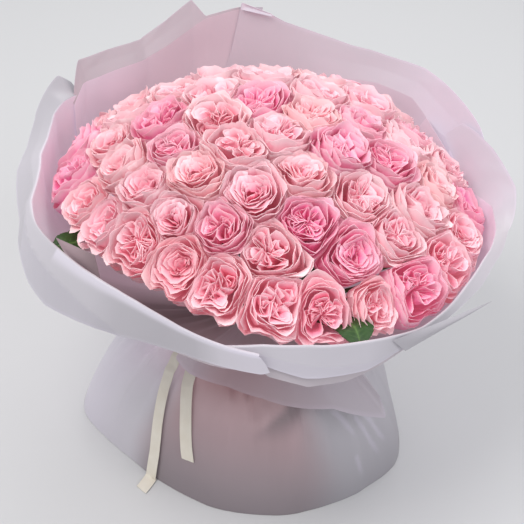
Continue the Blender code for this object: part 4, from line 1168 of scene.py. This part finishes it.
def satinMaterial():
    material, shader = newMaterial("satin ribbon", 0.4)
    weave = addGrain(material, "UV", 260.0, 0.1)
    soft = addGrain(material, "Object", 60.0, 1.0)
    colour = mixColours(material, soft.outputs["Mask"], (0.70, 0.64, 0.54), (0.80, 0.76, 0.68))
    link(material, colour, shader.inputs["Base Color"])
    rough = combine(material, "ADD", 0.30, times(material, weave.outputs["Mask"], 0.22))
    link(material, rough, shader.inputs["Roughness"])
    shader.inputs["Sheen Weight"].default_value = 0.15
    addBump(material, shader, weave.outputs["Height"], 0.25, 0.0002)
    return material


def juteMaterial():
    material, shader = newMaterial("jute twine", 0.9)
    fibres = addGrain(material, "Object", 700.0, 0.4)
    colour = mixColours(material, fibres.outputs["Mask"], (0.36, 0.25, 0.13), (0.66, 0.52, 0.33))
    link(material, colour, shader.inputs["Base Color"])
    addBump(material, shader, fibres.outputs["Height"], 0.6, 0.0005)
    return material


twine = {"turns": 5, "radius": 0.00135, "ring": 0.0397, "pitch": 0.0027}


def makeTwine(material):
    turns = []
    for k in range(twine["turns"]):
        high = tieHeight + (k - (twine["turns"] - 1) / 2) * twine["pitch"]
        bpy.ops.mesh.primitive_torus_add(location=(axisX, axisY, high), major_radius=twine["ring"],
                                         minor_radius=twine["radius"], major_segments=96, minor_segments=10)
        ring = bpy.context.object
        bpy.ops.object.transform_apply(location=True, rotation=True, scale=True)
        for point in ring.data.vertices:
            spot = point.co - Vector((axisX, axisY, high))
            azimuth = math.atan2(spot.y, spot.x)
            away = Vector((math.cos(azimuth), math.sin(azimuth), 0))
            core = Vector((axisX, axisY, high)) + away * twine["ring"]
            circle = math.atan2(point.co.z - core.z, (point.co - core).dot(away))
            strand = 1 + 0.14 * math.cos(3 * circle + 60 * azimuth)
            point.co = core + (point.co - core) * strand * 0.93
        turns.append(ring)
    piece = joinPieces(turns, "twine_turns")
    return finishPiece(piece, material, "twine", "binding_twine")


stem = {"radius": 0.0024, "sides": 8, "rows": 12, "calyx": 0.0068}


# a stem runs up its route to the bloom's base, and swells into the calyx under the petals
def makeStem(rose, material):
    focus = Vector((axisX, axisY, bloom["focusHeight"]))
    axis = rose["axis"]
    route = rose["route"] + [focus + axis * (rose["base"] + 0.001), focus + axis * (rose["base"] + 0.016)]
    shares = [0, 0.35, 0.75, 1] if len(route) == 4 else [0, 0.75, 1]

    def place(across, along):
        turn = 2 * math.pi * across
        step = max(k for k in range(len(route) - 1) if along >= shares[k])
        part = (along - shares[step]) / (shares[step + 1] - shares[step])
        centre = route[step].lerp(route[step + 1], part)
        ahead = (route[step + 1] - route[step]).normalized()
        if route[0].z < 0.001 and along < 0.04:
            ahead = Vector((0, 0, 1))
        side = ahead.orthogonal().normalized()
        over = ahead.cross(side)
        wide = stem["radius"] * (1 + 0.08 * math.sin(along * 60 + rose["seed"]))
        if along > 0.70:
            swell = (along - 0.70) / 0.30
            wide += (stem["calyx"] - stem["radius"]) * math.sin(swell * math.pi * 0.62) ** 1.4
        return centre + wide * (math.cos(turn) * side + math.sin(turn) * over)

    piece = laidGrid("stem_" + rose["name"], stem["sides"], stem["rows"] + 8, place)
    closeTube(piece)
    return finishPiece(piece, material, "leaf", rose["node"])


leaf = {"thick": 0.0010, "crease": 0.0030, "teeth": 11, "outerTilt": 39, "columns": 22, "rows": 44}
# each leaf's rib: (distance from the axis, height above the floor)
leafRibs = {"leaf_left": [(0.200, 0.3120), (0.213, 0.3190), (0.226, 0.3250), (0.238, 0.3290),
                          (0.248, 0.3310), (0.256, 0.3300), (0.262, 0.3270)],
            "leaf_front": [(0.201, 0.3290), (0.213, 0.3370), (0.225, 0.3420), (0.236, 0.3440),
                           (0.246, 0.3430), (0.254, 0.3390), (0.260, 0.3330)]}
leafOutline = [(0.0, 0.10), (0.12, 0.55), (0.28, 0.88), (0.45, 1.0), (0.62, 0.95), (0.80, 0.68), (0.93, 0.32),
               (1.0, 0.02)]
leaves = [("leaf_left", -156, 0.038), ("leaf_front", -69, 0.042)]


def leafMaterial():
    material, shader = newMaterial("rose leaf", 0.42)
    veins, middle = readNote(material, "vein"), addGrain(material, "Object", 120.0, 1.0)
    colour = mixColours(material, middle.outputs["Mask"], (0.012, 0.045, 0.008), (0.040, 0.105, 0.020))
    colour = mixColours(material, veins, colour, (0.10, 0.20, 0.05))
    link(material, colour, shader.inputs["Base Color"])
    rough = combine(material, "ADD", 0.34, times(material, middle.outputs["Mask"], 0.16))
    link(material, rough, shader.inputs["Roughness"])
    addBump(material, shader, combine(material, "SUBTRACT", middle.outputs["Height"], veins), 0.5, 0.0008)
    return material


def makeLeaf(name, rib, azimuths, width, material, *nodes):
    marks = []

    def place(across, along):
        u = 2 * across - 1
        spot = along * (len(rib) - 1)
        far = through([(k, r) for k, (r, z) in enumerate(rib)], spot)
        high = through([(k, z) for k, (r, z) in enumerate(rib)], spot)
        azimuth = azimuths[0] + (azimuths[1] - azimuths[0]) * smoothStep(0, 0.6, along)
        tooth = 1 + 0.07 * (1 - (along * leaf["teeth"]) % 1) * abs(u) ** 6
        wide = width / 2 * through(leafOutline, along) * tooth
        lift = leaf["crease"] * abs(u) ** 1.4 - 0.0007 * math.cos(abs(u) * 9 - along * 40) * abs(u)
        midrib = math.exp(-(u / 0.07) ** 2)
        side = math.exp(-(((along * 9 + abs(u) * 1.6) % 1 - 0.5) / 0.10) ** 2) * (1 - abs(u))
        marks.append(max(midrib, 0.55 * side))
        sway = polar(azimuth + 90, u * wide, 0) - polar(azimuth, 0, 0)
        return polar(azimuth, far + lift * 0.5, high + lift * 0.4) + Vector((sway.x, sway.y, 0))

    piece = laidGrid(name, leaf["columns"], leaf["rows"], place)
    noteOnPoints(piece, "vein", marks)
    thicken(piece, leaf["thick"])
    return finishPiece(piece, material, "leaf", *nodes, angle=50)


def buildLeaves(roses, material):
    lowest = math.cos(math.radians(leaf["outerTilt"]))
    turns = sorted(math.degrees(math.atan2(r["axis"].y, r["axis"].x)) for r in roses if r["axis"].z < lowest)
    for name, wanted, width in leaves:
        before, after = min(zip(turns, turns[1:]), key=lambda pair: abs((pair[0] + pair[1]) / 2 - wanted))
        makeLeaf(name, leafRibs[name], (before, (before + after) / 2), width, material, name)


def buildRoses():
    kinds = [makeBloomKind(k, kind) for k, kind in enumerate(bloomKinds)]
    nodes = [node for node in sorted(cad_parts) if node.startswith("rose_")]
    roses = [rose for node in nodes for rose in readRose(node)]
    petals, green = petalMaterial(), stemMaterial()
    axes = [rose["axis"] for rose in roses]
    random.seed(7)
    looks = []
    for rose in roses:
        kind, peach = random.randrange(len(kinds)), random.random() ** 2
        looks.append((kind, peach, max(0, random.random() - 0.66) * 2.5))
    for number, (rose, (kind, peach, hot)) in enumerate(zip(roses, looks)):
        rose["seed"] = 100 + number
        azimuth = math.degrees(math.atan2(rose["axis"].y, rose["axis"].x))
        rose["byLeaf"] = rose["axis"].z < 0.74 and any(abs(azimuth - wanted) < 12 for _, wanted, _ in leaves)
        others = [a for a in axes if a is not rose["axis"]]
        placeBloom(rose, kinds[kind], others, petals, peach * 0.5, hot)
        makeStem(rose, green)
    for kind in kinds:
        bpy.data.objects.remove(kind)
    print("roses placed:", len(roses))
    buildLeaves(roses, leafMaterial())
    print("leaves grown")


def buildFilm():
    material = filmMaterial()
    for name, sheet in wrapSheets.items():
        makeWrapSheet(name, sheet, material)
    for name, patch in filmPatches.items():
        makePatch(name, patch, material)
    makeUnderCuff(material)
    makeFlap(material)
    makeSkirt(material)
    print("film wrapped")


def buildBindings():
    makeTwine(juteMaterial())
    satin = satinMaterial()
    makeRibbonBand(satin)
    for number, route in enumerate(ribbonTails):
        makeTail(number, route, satin)
    print("twine and ribbon tied")


makeCamera()
makeStudio()
print("camera and studio ready")
buildFilm()
buildBindings()
buildRoses()
